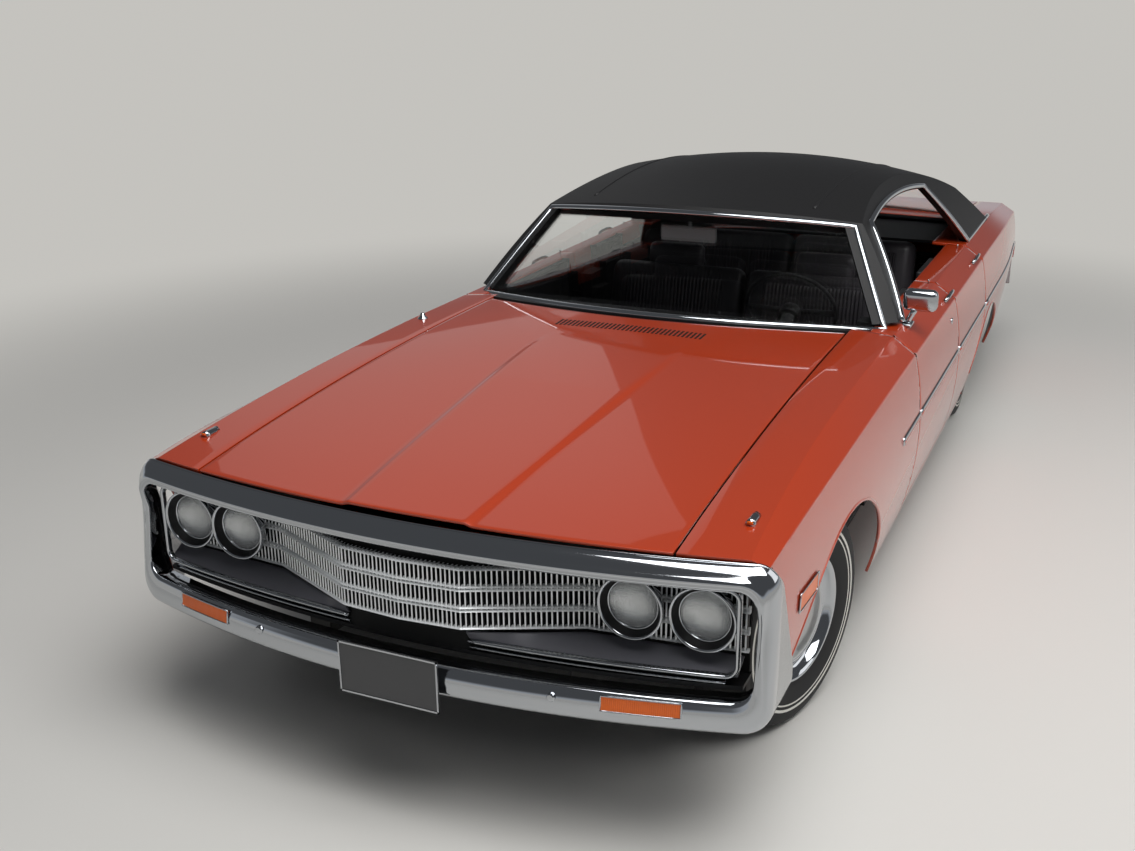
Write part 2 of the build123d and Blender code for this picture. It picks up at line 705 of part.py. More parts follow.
# Floor, tunnel and rails
KICKUP_Y = from_front(2740)
TRUNK_FLOOR_Z = 480.0
TRUNK_FLOOR_HALF = 640.0
REAR_RAIL_MID = 480.0
REAR_RAIL_DROP = 80.0
with BuildPart() as underbody:
    with Locations((0, HOOD_REAR_Y + 40, FLOOR_LOW)):
        Box(2 * SILL_IN, KICKUP_Y - HOOD_REAR_Y - 40, FLOOR_TOP - FLOOR_LOW, align=REARWARD)
        Box(2 * TUNNEL_HALF, KICKUP_Y - HOOD_REAR_Y - 40, TUNNEL_TOP - FLOOR_LOW, align=REARWARD)
    with Locations((0, KICKUP_Y, FLOOR_LOW)):
        Box(2 * TRUNK_FLOOR_HALF, 20, TRUNK_FLOOR_Z - FLOOR_LOW, align=(Align.CENTER, Align.MAX, Align.MIN))
    with Locations((0, KICKUP_Y, TRUNK_FLOOR_Z)):
        Box(2 * TRUNK_FLOOR_HALF, TAIL_Y - 180 - KICKUP_Y, 20, align=(Align.CENTER, Align.MIN, Align.MAX))
    with Locations((0, REAR_AXLE_Y + 430, TRUNK_FLOOR_Z)):
        Box(1640, TAIL_Y - 180 - REAR_AXLE_Y - 430, 20, align=(Align.CENTER, Align.MIN, Align.MAX))
    for side in (-1, 1):
        with Locations((side * RAIL_MID, RADIATOR_Y, RAIL_LOW)):
            Box(RAIL_WIDE, HOOD_REAR_Y + 100 - RADIATOR_Y, RAIL_HIGH - RAIL_LOW, align=REARWARD)
        with Locations((side * RAIL_MID, HOOD_REAR_Y + 40, FLOOR_LOW)):
            Box(RAIL_WIDE, 160, RAIL_HIGH - FLOOR_LOW, align=REARWARD)
        with Locations((side * REAR_RAIL_MID, KICKUP_Y - 20, TRUNK_FLOOR_Z - REAR_RAIL_DROP)):
            Box(RAIL_WIDE, TAIL_Y - 180 - KICKUP_Y, REAR_RAIL_DROP - 10, align=REARWARD)
    with Locations((0, HOOD_REAR_Y, FLOOR_LOW - 10)):
        Box(
            2 * (TUNNEL_HALF - TUNNEL_WALL),
            KICKUP_Y - HOOD_REAR_Y + 10,
            TUNNEL_TOP - TUNNEL_WALL - FLOOR_LOW + 10,
            align=REARWARD,
            mode=Mode.SUBTRACT,
        )
save(underbody.part, "underbody")

# Front bumper: a raked loop around grille and lamps
LOOP_HALF = 990.0
LOOP_LOW = 358.0
LOOP_HIGH = 846.0
LOOP_CORNER = 60.0
LOOP_END_BAND = 78.0
OPENING_HALF = LOOP_HALF - LOOP_END_BAND
OPENING_LOW = 505.0
OPENING_HIGH = 760.0
OPENING_CORNER = 45.0
LOOP_LOW_BOW = 165.0
LOOP_HIGH_BOW = 125.0
LOOP_HIGH_BACK = 87.0
LOOP_BACK_GAP = 12.0
LOOP_END_WALL = 85.0
LOOP_WALL_X = LOOP_HALF - LOOP_END_WALL
LOOP_ROUND = 30.0
OPENING_ROUND = 14.0
SIGNAL_X = 680.0
SIGNAL_Z = 455.0
SIGNAL_WIDE = 150.0
SIGNAL_HIGH = 36.0


def loop_envelope(proud):
    # Everything behind the bumper's face, which is more bowed and further forward at the bottom
    with BuildPart() as envelope:
        for z, front, bow in (
            (LOOP_LOW, NOSE_Y - proud, LOOP_LOW_BOW),
            (LOOP_HIGH, NOSE_Y + LOOP_HIGH_BACK - proud, LOOP_HIGH_BOW),
        ):
            with BuildSketch(Plane.XY.offset(z)):
                with BuildLine():
                    ThreePointArc((-LOOP_HALF, front + bow), (0, front), (LOOP_HALF, front + bow))
                    Polyline(
                        (LOOP_HALF, front + bow),
                        (LOOP_HALF, FRONT_AXLE_Y),
                        (-LOOP_HALF, FRONT_AXLE_Y),
                        (-LOOP_HALF, front + bow),
                    )
                make_face()
        loft(ruled=True)
    return envelope.part


LOOP_FACE = loop_envelope(0)
LOOP_SIDE = side_prism(
    [
        (NOSE_Y - 100, 1000),
        (FENDER_NOSE_TOP_Y - PANEL_GAP, 1000),
        (FENDER_NOSE_TOP_Y - PANEL_GAP, 850),
        (FENDER_NOSE_LOW_Y - PANEL_GAP - 25, FENDER_NOSE_LOW_Z),
        (FENDER_NOSE_LOW_Y - PANEL_GAP - 25, 250),
        (NOSE_Y - 100, 250),
    ],
    -1200,
    1200,
)
LOOP_BACK = nose_plan(LOOP_BACK_GAP, LOOP_WALL_X)
with BuildPart() as front_bumper:
    with BuildSketch(across(NOSE_Y - 50)):
        with Locations((0, (LOOP_LOW + LOOP_HIGH) / 2)):
            RectangleRounded(2 * LOOP_HALF, LOOP_HIGH - LOOP_LOW, LOOP_CORNER)
        with Locations((0, (OPENING_LOW + OPENING_HIGH) / 2)):
            RectangleRounded(2 * OPENING_HALF, OPENING_HIGH - OPENING_LOW, OPENING_CORNER, mode=Mode.SUBTRACT)
    extrude(amount=-550)
    add(LOOP_FACE, mode=Mode.INTERSECT)
    add(LOOP_SIDE, mode=Mode.INTERSECT)
    add(LOOP_BACK, mode=Mode.SUBTRACT)
    face = front_bumper.faces().sort_by(SortBy.AREA)[-1]
    opening_edge = face.inner_wires()[0].edges()
    fillet(face.outer_wire().edges(), radius=LOOP_ROUND)
    fillet(opening_edge, radius=OPENING_ROUND)
    for side in (-1, 1):
        with Locations((side * SIGNAL_X, NOSE_Y + 100, SIGNAL_Z)):
            Box(SIGNAL_WIDE, 120, SIGNAL_HIGH, mode=Mode.SUBTRACT)
save(front_bumper.part, "front_bumper")

LENS_PROUD = 3.0
LOOP_PROUD = loop_envelope(LENS_PROUD)
with BuildPart() as signals:
    for side in (-1, 1):
        with Locations((side * SIGNAL_X, NOSE_Y + 100, SIGNAL_Z)):
            Box(SIGNAL_WIDE - 2 * SEAT_GAP, 120, SIGNAL_HIGH - 2 * SEAT_GAP)
    add(LOOP_PROUD, mode=Mode.INTERSECT)
MARKER_FRONT_Y = (from_front(-503), from_front(-325))
MARKER_REAR_Y = (TAIL_Y - 400, TAIL_Y - 230)
MARKER_Z = (612.0, 652.0)
MARKER_PROUD = 5.0
marker_shell = body_solid(-MARKER_PROUD) - body_solid(-SEAT_GAP)


def side_markers(run):
    # A pair of long lamps that lie on the flanks
    low, high = MARKER_Z
    with BuildPart() as pair:
        add(marker_shell)
        with Locations((0, run[0], low)):
            Box(3000, run[1] - run[0], high - low, align=REARWARD, mode=Mode.INTERSECT)
    return pair.part


front_lamps = [*signals.part.solids(), *side_markers(MARKER_FRONT_Y).solids()]
save(Compound(children=front_lamps), "front_signal_lamps")

# Grille of fine upright bars between level bars, with the four lamps before it
GRILLE_PATH = [
    (904.5, from_front(-725)),
    (480, from_front(-765)),
    (176, from_front(-903)),
    (0, from_front(-915)),
]
GRILLE_LOW = 600.0
GRILLE_HIGH = 752.0
GRILLE_LEVELS = 4
GRILLE_BAR = 9.0
GRILLE_DEPTH = 26.0
GRILLE_PITCH = 18.0
GRILLE_FIN = 5.0


def grille_y(x):
    span = sorted((abs(px), py) for px, py in GRILLE_PATH)
    for (x0, y0), (x1, y1) in zip(span, span[1:]):
        if x0 <= abs(x) <= x1:
            return y0 + (y1 - y0) * (abs(x) - x0) / (x1 - x0)
    return span[-1][1]


front_edge = GRILLE_PATH + [(-x, y) for x, y in reversed(GRILLE_PATH[:-1])]
back_edge = [(x, y + GRILLE_DEPTH) for x, y in reversed(front_edge)]
with BuildPart() as grille:
    for level in range(GRILLE_LEVELS):
        z = GRILLE_LOW + level * (GRILLE_HIGH - GRILLE_LOW - GRILLE_BAR) / (GRILLE_LEVELS - 1)
        with BuildSketch(Plane.XY.offset(z)):
            with BuildLine():
                Polyline(*front_edge, *back_edge, close=True)
            make_face()
        extrude(amount=GRILLE_BAR)
    count = int(880 / GRILLE_PITCH)
    with BuildSketch(Plane.XY.offset(GRILLE_LOW)):
        for step in range(-count, count + 1):
            x = step * GRILLE_PITCH
            with Locations((x, grille_y(x) + GRILLE_DEPTH / 2 + 3)):
                Rectangle(GRILLE_FIN, GRILLE_DEPTH - 8)
    extrude(amount=GRILLE_HIGH - GRILLE_LOW)
save(grille.part, "grille")

Lamp = namedtuple("Lamp", "x z")
LAMPS = [Lamp(612, 672), Lamp(799, 668)]
LAMP_BEZEL_R = 92.0
LAMP_LENS_R = 72.0
LAMP_DEPTH = 60.0
lamp_solids = []
for lamp in LAMPS:
    with BuildPart() as unit:
        with BuildSketch(Plane.YZ):
            with BuildLine():
                Polyline(
                    (LAMP_DEPTH, 0),
                    (LAMP_DEPTH, LAMP_LENS_R),
                    (8, LAMP_BEZEL_R),
                    (0, LAMP_BEZEL_R),
                    (0, LAMP_BEZEL_R - 8),
                    (20, LAMP_LENS_R),
                    (10, LAMP_LENS_R * 0.6),
                    (6, 0),
                    close=True,
                )
            make_face()
        revolve(axis=Axis.Y)
    for side in (-1, 1):
        lamp_solids.append(Pos(side * lamp.x, grille_y(lamp.x) - LAMP_DEPTH - 7, lamp.z) * unit.part)
save(Compound(children=lamp_solids), "headlamps")

TRAY_Z = OPENING_LOW - 12.0
TRAY_HALF = LOOP_WALL_X - 1.0
TRAY_END_Y = from_front(-760)
with BuildPart() as tray:
    with BuildSketch(Plane.XY.offset(TRAY_Z)):
        with BuildLine():
            ThreePointArc((-TRAY_HALF, TRAY_END_Y), (0, HOOD_FRONT_Y - LOOP_BACK_GAP), (TRAY_HALF, TRAY_END_Y))
            Polyline(
                (TRAY_HALF, TRAY_END_Y),
                (TRAY_HALF, RADIATOR_Y),
                (-TRAY_HALF, RADIATOR_Y),
                (-TRAY_HALF, TRAY_END_Y),
            )
        make_face()
    extrude(amount=12)
    for side in (-1, 1):
        for x in (200, 700):
            with Locations((side * x, grille_y(x + 15) + GRILLE_DEPTH, TRAY_Z + 12)):
                Box(30, 12, GRILLE_LOW + GRILLE_BAR - TRAY_Z - 12, align=REARWARD)
save(tray.part, "grille_tray")

# Rear bumper and tail lamps
REAR_BUMPER_LOW = 400.0
REAR_BUMPER_HIGH = 700.0
REAR_BUMPER_HALF = 950.0
REAR_BUMPER_BOW = 115.0
REAR_BUMPER_ROUND = 18.0
TAIL_LAMP_X = 650.0
TAIL_LAMP_WIDE = 420.0
TAIL_LAMP_HIGH = 80.0
TAIL_LAMP_Z = 590.0


def rear_band(proud):
    with BuildPart() as band:
        with BuildSketch(Plane.XY.offset(REAR_BUMPER_LOW)):
            with BuildLine():
                ThreePointArc(
                    (-REAR_BUMPER_HALF, TAIL_Y - REAR_BUMPER_BOW + proud),
                    (0, TAIL_Y + proud),
                    (REAR_BUMPER_HALF, TAIL_Y - REAR_BUMPER_BOW + proud),
                )
                Polyline(
                    (REAR_BUMPER_HALF, TAIL_Y - REAR_BUMPER_BOW + proud),
                    (REAR_BUMPER_HALF, TAIL_Y - 150),
                    (-REAR_BUMPER_HALF, TAIL_Y - 150),
                    (-REAR_BUMPER_HALF, TAIL_Y - REAR_BUMPER_BOW + proud),
                )
            make_face()
        extrude(amount=REAR_BUMPER_HIGH - REAR_BUMPER_LOW)
    return band.part


REAR_SOLID = rear_band(0)
REAR_PROUD = rear_band(LENS_PROUD)
with BuildPart() as rear_bumper:
    add(REAR_SOLID)
    fillet(rear_bumper.faces().sort_by(Axis.Y)[-1].edges(), radius=REAR_BUMPER_ROUND)
    for side in (-1, 1):
        with Locations((side * TAIL_LAMP_X, TAIL_Y, TAIL_LAMP_Z)):
            Box(TAIL_LAMP_WIDE, 220, TAIL_LAMP_HIGH, mode=Mode.SUBTRACT)
save(rear_bumper.part, "rear_bumper")
with BuildPart() as tail_lamps:
    add(REAR_PROUD)
    with Locations((-TAIL_LAMP_X, TAIL_Y, TAIL_LAMP_Z), (TAIL_LAMP_X, TAIL_Y, TAIL_LAMP_Z)):
        Box(
            TAIL_LAMP_WIDE - 2 * SEAT_GAP,
            220 - 2 * SEAT_GAP,
            TAIL_LAMP_HIGH - 2 * SEAT_GAP,
            mode=Mode.INTERSECT,
        )
rear_lamps = [*tail_lamps.part.solids(), *side_markers(MARKER_REAR_Y).solids()]
save(Compound(children=rear_lamps), "tail_lamps")

# Cabin: dashboard, column, seats, mirrors
DASH_HALF = POST_IN
DASH_OUTLINE = [
    (from_front(1105), 915),
    (from_front(1310), 900),
    (from_front(1325), 860),
    (from_front(1290), 720),
    (from_front(1170), 620),
    (from_front(1105), 620),
]
FRONT_SEAT_OUTLINE = [
    (from_front(1640), FLOOR_TOP),
    (from_front(1625), 470),
    (from_front(1660), 510),
    (from_front(2090), 465),
    (from_front(2195), 880),
    (from_front(2290), 890),
    (from_front(2250), 430),
    (from_front(2220), FLOOR_TOP),
]
REAR_SEAT_OUTLINE = [
    (from_front(2530), FLOOR_TOP),
    (from_front(2500), 470),
    (from_front(2540), 520),
    (from_front(2960), 490),
    (from_front(3055), 890),
    (from_front(3150), 890),
    (from_front(3110), TRUNK_FLOOR_Z),
    (KICKUP_Y - 20, TRUNK_FLOOR_Z),
    (KICKUP_Y - 20, FLOOR_TOP),
]
SEAT_HALF = 680.0
REAR_SEAT_HALF = 635.0
REST_X = 360.0
REST_WIDE = 270.0

FRONT_SEAT_BLOCK = side_prism(FRONT_SEAT_OUTLINE, -SEAT_HALF, SEAT_HALF)
with BuildPart() as front_seat:
    add(FRONT_SEAT_BLOCK)
    with Locations((0, from_front(1900), FLOOR_TOP)):
        Box(2 * TUNNEL_HALF + 20, 900, 2 * (TUNNEL_TOP - FLOOR_TOP) + 20, mode=Mode.SUBTRACT)
    for side in (-1, 1):
        with Locations((side * REST_X, from_front(2245), 870)):
            Box(REST_WIDE, 70, 105, align=UPWARD)
save(front_seat.part, "front_seat")
REAR_SEAT_BLOCK = side_prism(REAR_SEAT_OUTLINE, -REAR_SEAT_HALF, REAR_SEAT_HALF)
with BuildPart() as rear_seat:
    add(REAR_SEAT_BLOCK)
    with Locations((0, from_front(2600), FLOOR_TOP)):
        Box(2 * TUNNEL_HALF + 20, 300, 2 * (TUNNEL_TOP - FLOOR_TOP) + 20, mode=Mode.SUBTRACT)
save(rear_seat.part, "rear_seat")

WHEEL_X = 380.0
COLUMN_TOP = (from_front(1545), 862.0)
COLUMN_TILT = 27.0
COLUMN_R = 28.0
COLUMN_LONG = 330.0
RIM_R = 195.0
SHAFT_PIN_R = 10.0
SHAFT_PIN_LONG = 90.0
RIM_BAR = 9.0
column_plane = Plane(
    origin=(WHEEL_X, COLUMN_TOP[0], COLUMN_TOP[1]),
    x_dir=(1, 0, 0),
    z_dir=Vector(0, 1, 0).rotate(Axis.X, COLUMN_TILT),
)
with BuildPart() as steering_column:
    with BuildSketch(column_plane.offset(-12)):
        Circle(COLUMN_R)
        Circle(SHAFT_PIN_R + HINGE_BORE_GAP, mode=Mode.SUBTRACT)
    extrude(amount=-COLUMN_LONG)
save(steering_column.part, "steering_column")
DASH_BLOCK = side_prism(DASH_OUTLINE, -DASH_HALF, DASH_HALF)
with BuildPart() as dashboard:
    add(DASH_BLOCK)
    with BuildSketch(column_plane):
        Circle(COLUMN_R + SEAT_GAP)
    extrude(amount=-COLUMN_LONG - 80, mode=Mode.SUBTRACT)
save(dashboard.part, "dashboard")
with BuildPart() as steering_wheel:
    with BuildSketch(column_plane.offset(30)):
        Circle(RIM_R)
        Circle(RIM_R - 2 * RIM_BAR, mode=Mode.SUBTRACT)
    extrude(amount=2 * RIM_BAR)
    with BuildSketch(column_plane.offset(-6)):
        Circle(45)
    extrude(amount=40)
    with BuildSketch(column_plane.offset(16)):
        Rectangle(2 * RIM_R - 12, 34)
    extrude(amount=18)
    with BuildSketch(column_plane):
        Circle(SHAFT_PIN_R)
    extrude(amount=-SHAFT_PIN_LONG)
save(steering_wheel.part, "steering_wheel")

with BuildPart() as inside_mirror:
    with Locations((-20, from_front(1430), 1195)):
        Box(230, 22, 58)
    with Locations((-20, from_front(1430), 1195)):
        Cylinder(6, 130, rotation=(-20, 0, 0), align=UPWARD)
save(inside_mirror.part - roof.part, "inside_mirror")

MIRROR_Y = DOOR_LEAD_Y + 205.0
MIRROR_DEEP = 60.0
with BuildPart() as door_mirror:
    with BuildSketch(across(MIRROR_Y - MIRROR_DEEP / 2)):
        with Locations((939, 1030)):
            RectangleRounded(128, 86, 26)
    extrude(amount=-MIRROR_DEEP)
    fillet(door_mirror.faces().sort_by(Axis.Y)[0].edges(), radius=20)
    with Locations((894, MIRROR_Y, 1000)):
        Cylinder(12, 150)
    add(BODY_OUTER, mode=Mode.SUBTRACT)
save(door_mirror.part, "door_mirror")

# Engine, gearbox, drive shaft, exhaust, fuel tank
with BuildPart() as engine:
    with Locations((0, from_front(-180), 345)):
        Box(520, 880, 425, align=REARWARD)
    with Locations((0, from_front(700), 270)):
        Box(240, 620, 120, align=REARWARD)
    with Locations((0, from_front(650), 270)):
        Box(240, 60, 200, align=REARWARD)
save(engine.part, "engine")
SHAFT_Z = 335.0
SHAFT_R = 38.0
AXLE_Z = 350.0
DIFF_R = 105.0
with BuildPart() as drive_shaft:
    with Locations((0, from_front(1320), SHAFT_Z)):
        Cylinder(SHAFT_R, REAR_AXLE_Y - DIFF_R + 10 - from_front(1320), rotation=(-90, 0, 0), align=UPWARD)
    with Locations((0, REAR_AXLE_Y, AXLE_Z)):
        Sphere(DIFF_R, mode=Mode.SUBTRACT)
save(drive_shaft.part, "drive_shaft")
PIPE_X = -260.0
PIPE_R = 26.0
TIP_R = 24.5
TIP_LONG = 60.0
with BuildPart() as exhaust:
    with Locations((PIPE_X, from_front(600), FLOOR_LOW - PIPE_R)):
        Cylinder(PIPE_R, TAIL_Y - 200 - from_front(600), rotation=(-90, 0, 0), align=UPWARD)
    with Locations((PIPE_X, from_front(1700), FLOOR_LOW)):
        Box(210, 620, 2 * PIPE_R, align=(Align.CENTER, Align.MIN, Align.MAX))
    with Locations((PIPE_X, TAIL_Y - 200, FLOOR_LOW - PIPE_R)):
        Cylinder(TIP_R, TIP_LONG, rotation=(-90, 0, 0), align=UPWARD)
save(exhaust.part, "exhaust")
with BuildPart() as fuel_tank:
    with Locations((0, REAR_AXLE_Y + 480, TRUNK_FLOOR_Z - REAR_RAIL_DROP)):
        Box(1000, 640, 130, align=(Align.CENTER, Align.MIN, Align.MAX))
save(fuel_tank.part, "fuel_tank")

# Wheels, tyres, axles and steering
TYRE_R = 350.0
TYRE_WIDE = 214.0
RIM_SEAT_R = 197.5
TYRE_WALL = [  # radius, distance from the middle plane
    (RIM_SEAT_R + SEAT_GAP, 88.0),
    (225.0, 101.0),
    (285.0, TYRE_WIDE / 2),
    (320.0, 102.0),
    (340.0, 88.0),
    (TYRE_R, 60.0),
]
HUB_R = 25.0
BEARING_GAP = 0.4
KINGPIN_X = 680.0
KINGPIN_R = 12.0
STEER_REST = 15.5
with BuildPart() as tyre:
    with BuildSketch(Plane.XZ):
        with BuildLine():
            Polyline(*[(x, r) for r, x in TYRE_WALL], *[(-x, r) for r, x in reversed(TYRE_WALL)], close=True)
        make_face()
    revolve(axis=Axis.X)
with BuildPart() as wheel:
    with BuildSketch(Plane.XZ):
        with BuildLine():
            Polyline(
                (-60, HUB_R + BEARING_GAP),
                (-60, 140),
                (20, 140),
                (40, 180),
                (-95, 180),
                (-95, RIM_SEAT_R),
                (92, RIM_SEAT_R),
                (100, 188),
                (84, 165),
                (92, 140),
                (80, 90),
                (84, 0),
                (20, 0),
                (20, HUB_R + BEARING_GAP),
                close=True,
            )
        make_face()
    revolve(axis=Axis.X)


def placed(part, side, y, steer):
    # A wheel piece with its outer face out, turned about the kingpin when it is steered
    turned = part if side > 0 else Rot(0, 0, 180) * part
    put = Pos(side * TRACK / 2, y, TYRE_R) * turned
    return put.rotate(Axis((side * KINGPIN_X, y, 0), (0, 0, 1)), -steer)


for corner, side, y, steer in (
    ("front_left", 1, FRONT_AXLE_Y, STEER_REST),
    ("front_right", -1, FRONT_AXLE_Y, STEER_REST),
    ("rear_left", 1, REAR_AXLE_Y, 0),
    ("rear_right", -1, REAR_AXLE_Y, 0),
):
    save(placed(tyre.part, side, y, steer), f"tyre_{corner}")
    save(placed(wheel.part, side, y, steer), f"wheel_{corner}")

ARM_LOW = 215.0
ARM_WALL = 26.0
ARM_HIGH = 480.0
ARM_TIP_R = 22.0
with BuildPart() as knuckle:
    with Locations((KINGPIN_X, FRONT_AXLE_Y, ARM_LOW)):
        Cylinder(KINGPIN_R, ARM_HIGH + ARM_WALL - ARM_LOW, align=UPWARD)
    with Locations((KINGPIN_X, FRONT_AXLE_Y, ARM_LOW + ARM_WALL + 6)):
        Cylinder(ARM_TIP_R, ARM_HIGH - ARM_LOW - ARM_WALL - 12, align=UPWARD)
    with Locations((KINGPIN_X, FRONT_AXLE_Y, TYRE_R)):
        Cylinder(HUB_R, TRACK / 2 + 18 - KINGPIN_X, rotation=(0, 90, 0), align=UPWARD)
kp_left = Axis((KINGPIN_X, FRONT_AXLE_Y, 0), (0, 0, 1))
kp_right = Axis((-KINGPIN_X, FRONT_AXLE_Y, 0), (0, 0, 1))
save(knuckle.part.rotate(kp_left, -STEER_REST), "knuckle_left")
save(mirrored(knuckle.part).rotate(kp_right, -STEER_REST), "knuckle_right")
with BuildPart() as front_suspension:
    with Locations((0, FRONT_AXLE_Y, 250)):
        Box(2 * RAIL_MID + RAIL_WIDE, 120, RAIL_LOW - 250, align=UPWARD)
    for side in (-1, 1):
        for z, inner in ((ARM_LOW, 300), (ARM_HIGH, RAIL_MID + 20)):
            with BuildSketch(Plane.XY.offset(z)):
                with BuildLine():
                    Polyline(
                        (side * inner, FRONT_AXLE_Y - 60),
                        (side * KINGPIN_X, FRONT_AXLE_Y - ARM_TIP_R),
                        (side * KINGPIN_X, FRONT_AXLE_Y + ARM_TIP_R),
                        (side * inner, FRONT_AXLE_Y + 60),
                        close=True,
                    )
                make_face()
                with Locations((side * KINGPIN_X, FRONT_AXLE_Y)):
                    Circle(ARM_TIP_R)
                    Circle(KINGPIN_R + BEARING_GAP, mode=Mode.SUBTRACT)
            extrude(amount=ARM_WALL)
        with Locations((side * (RAIL_MID + 5), FRONT_AXLE_Y, RAIL_HIGH)):
            Box(40, 120, ARM_HIGH + ARM_WALL - RAIL_HIGH, align=UPWARD)
        with Locations((side * 320, FRONT_AXLE_Y, ARM_LOW)):
            Box(60, 120, 250 + 5 - ARM_LOW, align=UPWARD)
save(front_suspension.part, "front_suspension")

AXLE_TUBE_R = 40.0
with BuildPart() as rear_axle:
    with Locations((0, REAR_AXLE_Y, AXLE_Z)):
        Cylinder(AXLE_TUBE_R, 2 * (TRACK / 2 - 75), rotation=(0, 90, 0))
        Cylinder(HUB_R, 2 * (TRACK / 2 + 18), rotation=(0, 90, 0))
        Sphere(DIFF_R)
save(rear_axle.part, "rear_axle")
SPRING_WALL = 14.0
SPRING_WIDE = 64.0
with BuildPart() as springs:
    for side in (-1, 1):
        with BuildSketch(lengthwise(side * REAR_RAIL_MID - SPRING_WIDE / 2)):
            with BuildLine():
                ends = TRUNK_FLOOR_Z - REAR_RAIL_DROP
                mid = AXLE_Z - AXLE_TUBE_R - 0.3
                ThreePointArc((REAR_AXLE_Y - 390, ends), (REAR_AXLE_Y, mid), (REAR_AXLE_Y + 430, ends))
                Line((REAR_AXLE_Y + 430, ends), (REAR_AXLE_Y + 430, ends - SPRING_WALL))
                ThreePointArc(
                    (REAR_AXLE_Y + 430, ends - SPRING_WALL),
                    (REAR_AXLE_Y, mid - SPRING_WALL),
                    (REAR_AXLE_Y - 390, ends - SPRING_WALL),
                )
                Line((REAR_AXLE_Y - 390, ends - SPRING_WALL), (REAR_AXLE_Y - 390, ends))
            make_face()
        extrude(amount=SPRING_WIDE)
save(springs.part, "leaf_springs")
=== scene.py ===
import math

import bmesh
import bpy
from mathutils import Matrix, Vector


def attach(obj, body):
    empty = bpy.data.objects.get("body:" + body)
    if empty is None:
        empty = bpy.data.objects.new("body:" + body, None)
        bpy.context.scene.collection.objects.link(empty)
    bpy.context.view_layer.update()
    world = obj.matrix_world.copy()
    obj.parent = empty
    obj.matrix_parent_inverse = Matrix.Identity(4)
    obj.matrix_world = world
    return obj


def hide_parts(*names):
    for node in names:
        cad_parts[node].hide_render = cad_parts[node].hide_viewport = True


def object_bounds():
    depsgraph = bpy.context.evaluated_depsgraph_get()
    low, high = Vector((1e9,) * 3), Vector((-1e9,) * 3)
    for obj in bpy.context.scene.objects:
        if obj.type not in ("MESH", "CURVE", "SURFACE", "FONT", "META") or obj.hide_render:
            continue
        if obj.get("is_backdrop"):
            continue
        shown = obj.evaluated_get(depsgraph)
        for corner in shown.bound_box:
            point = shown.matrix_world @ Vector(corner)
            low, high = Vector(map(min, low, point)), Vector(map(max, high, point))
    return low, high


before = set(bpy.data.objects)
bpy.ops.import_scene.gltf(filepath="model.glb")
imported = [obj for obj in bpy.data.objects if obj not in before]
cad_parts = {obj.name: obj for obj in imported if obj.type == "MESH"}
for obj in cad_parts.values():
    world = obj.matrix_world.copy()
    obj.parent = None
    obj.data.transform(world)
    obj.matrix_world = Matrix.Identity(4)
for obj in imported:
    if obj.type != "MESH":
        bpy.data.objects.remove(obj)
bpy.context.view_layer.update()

# Body shape: pressed steel panels that all lie on one surface. Sections from nose to tail give it, in metres,
# each with sill, widest point, crease, shoulder and crown, as in the solids.
FRONT_AXLE = -1.8745
REAR_AXLE = 1.2755
TAIL = 2.8525
SECTION_Y = [FRONT_AXLE - 0.89, FRONT_AXLE - 0.6, FRONT_AXLE - 0.1, FRONT_AXLE + 0.575, FRONT_AXLE + 1.175,
             FRONT_AXLE + 2.3, REAR_AXLE, TAIL - 0.852, TAIL - 0.15]
SECTION = {
    "sill_x": [0.895, 0.915, 0.935, 0.94, 0.94, 0.94, 0.938, 0.925, 0.89],
    "sill_z": [0.4, 0.33, 0.25, 0.215, 0.21, 0.21, 0.225, 0.27, 0.34],
    "wide_x": [0.945, 0.968, 0.992, 1.003, 1.0045, 1.0045, 1.003, 0.994, 0.955],
    "wide_z": [0.62, 0.615, 0.605, 0.595, 0.59, 0.59, 0.59, 0.595, 0.6],
    "crease_x": [0.951, 0.96, 0.968, 0.97, 0.97, 0.97, 0.969, 0.964, 0.936],
    "crease_z": [0.82, 0.848, 0.868, 0.875, 0.876, 0.877, 0.877, 0.87, 0.836],
    "shoulder_x": [0.918, 0.902, 0.887, 0.885, 0.885, 0.885, 0.884, 0.878, 0.862],
    "shoulder_z": [0.834, 0.872, 0.915, 0.937, 0.938, 0.939, 0.939, 0.931, 0.884],
    "crown_z": [0.858, 0.886, 0.924, 0.966, 0.985, 0.985, 0.968, 0.945, 0.89],
}


def column(name, y):
    # One measure of the section at a place along the car, smooth through the sections
    ys, vs = SECTION_Y, SECTION[name]
    slope = [(vs[i + 1] - vs[i]) / (ys[i + 1] - ys[i]) for i in range(len(ys) - 1)]
    tangent = [slope[0]] + [
        (slope[i - 1] * (ys[i + 1] - ys[i]) + slope[i] * (ys[i] - ys[i - 1])) / (ys[i + 1] - ys[i - 1])
        for i in range(1, len(ys) - 1)
    ] + [slope[-1]]
    i = max(0, min(len(ys) - 2, sum(1 for s in ys[1:-1] if y >= s)))
    h = ys[i + 1] - ys[i]
    t = (y - ys[i]) / h
    if t < 0 or t > 1:
        j = i if t < 0 else i + 1
        return vs[j] + tangent[j] * (y - ys[j])
    return ((2 * t**3 - 3 * t**2 + 1) * vs[i] + (t**3 - 2 * t**2 + t) * h * tangent[i]
            + (3 * t**2 - 2 * t**3) * vs[i + 1] + (t**3 - t**2) * h * tangent[i + 1])


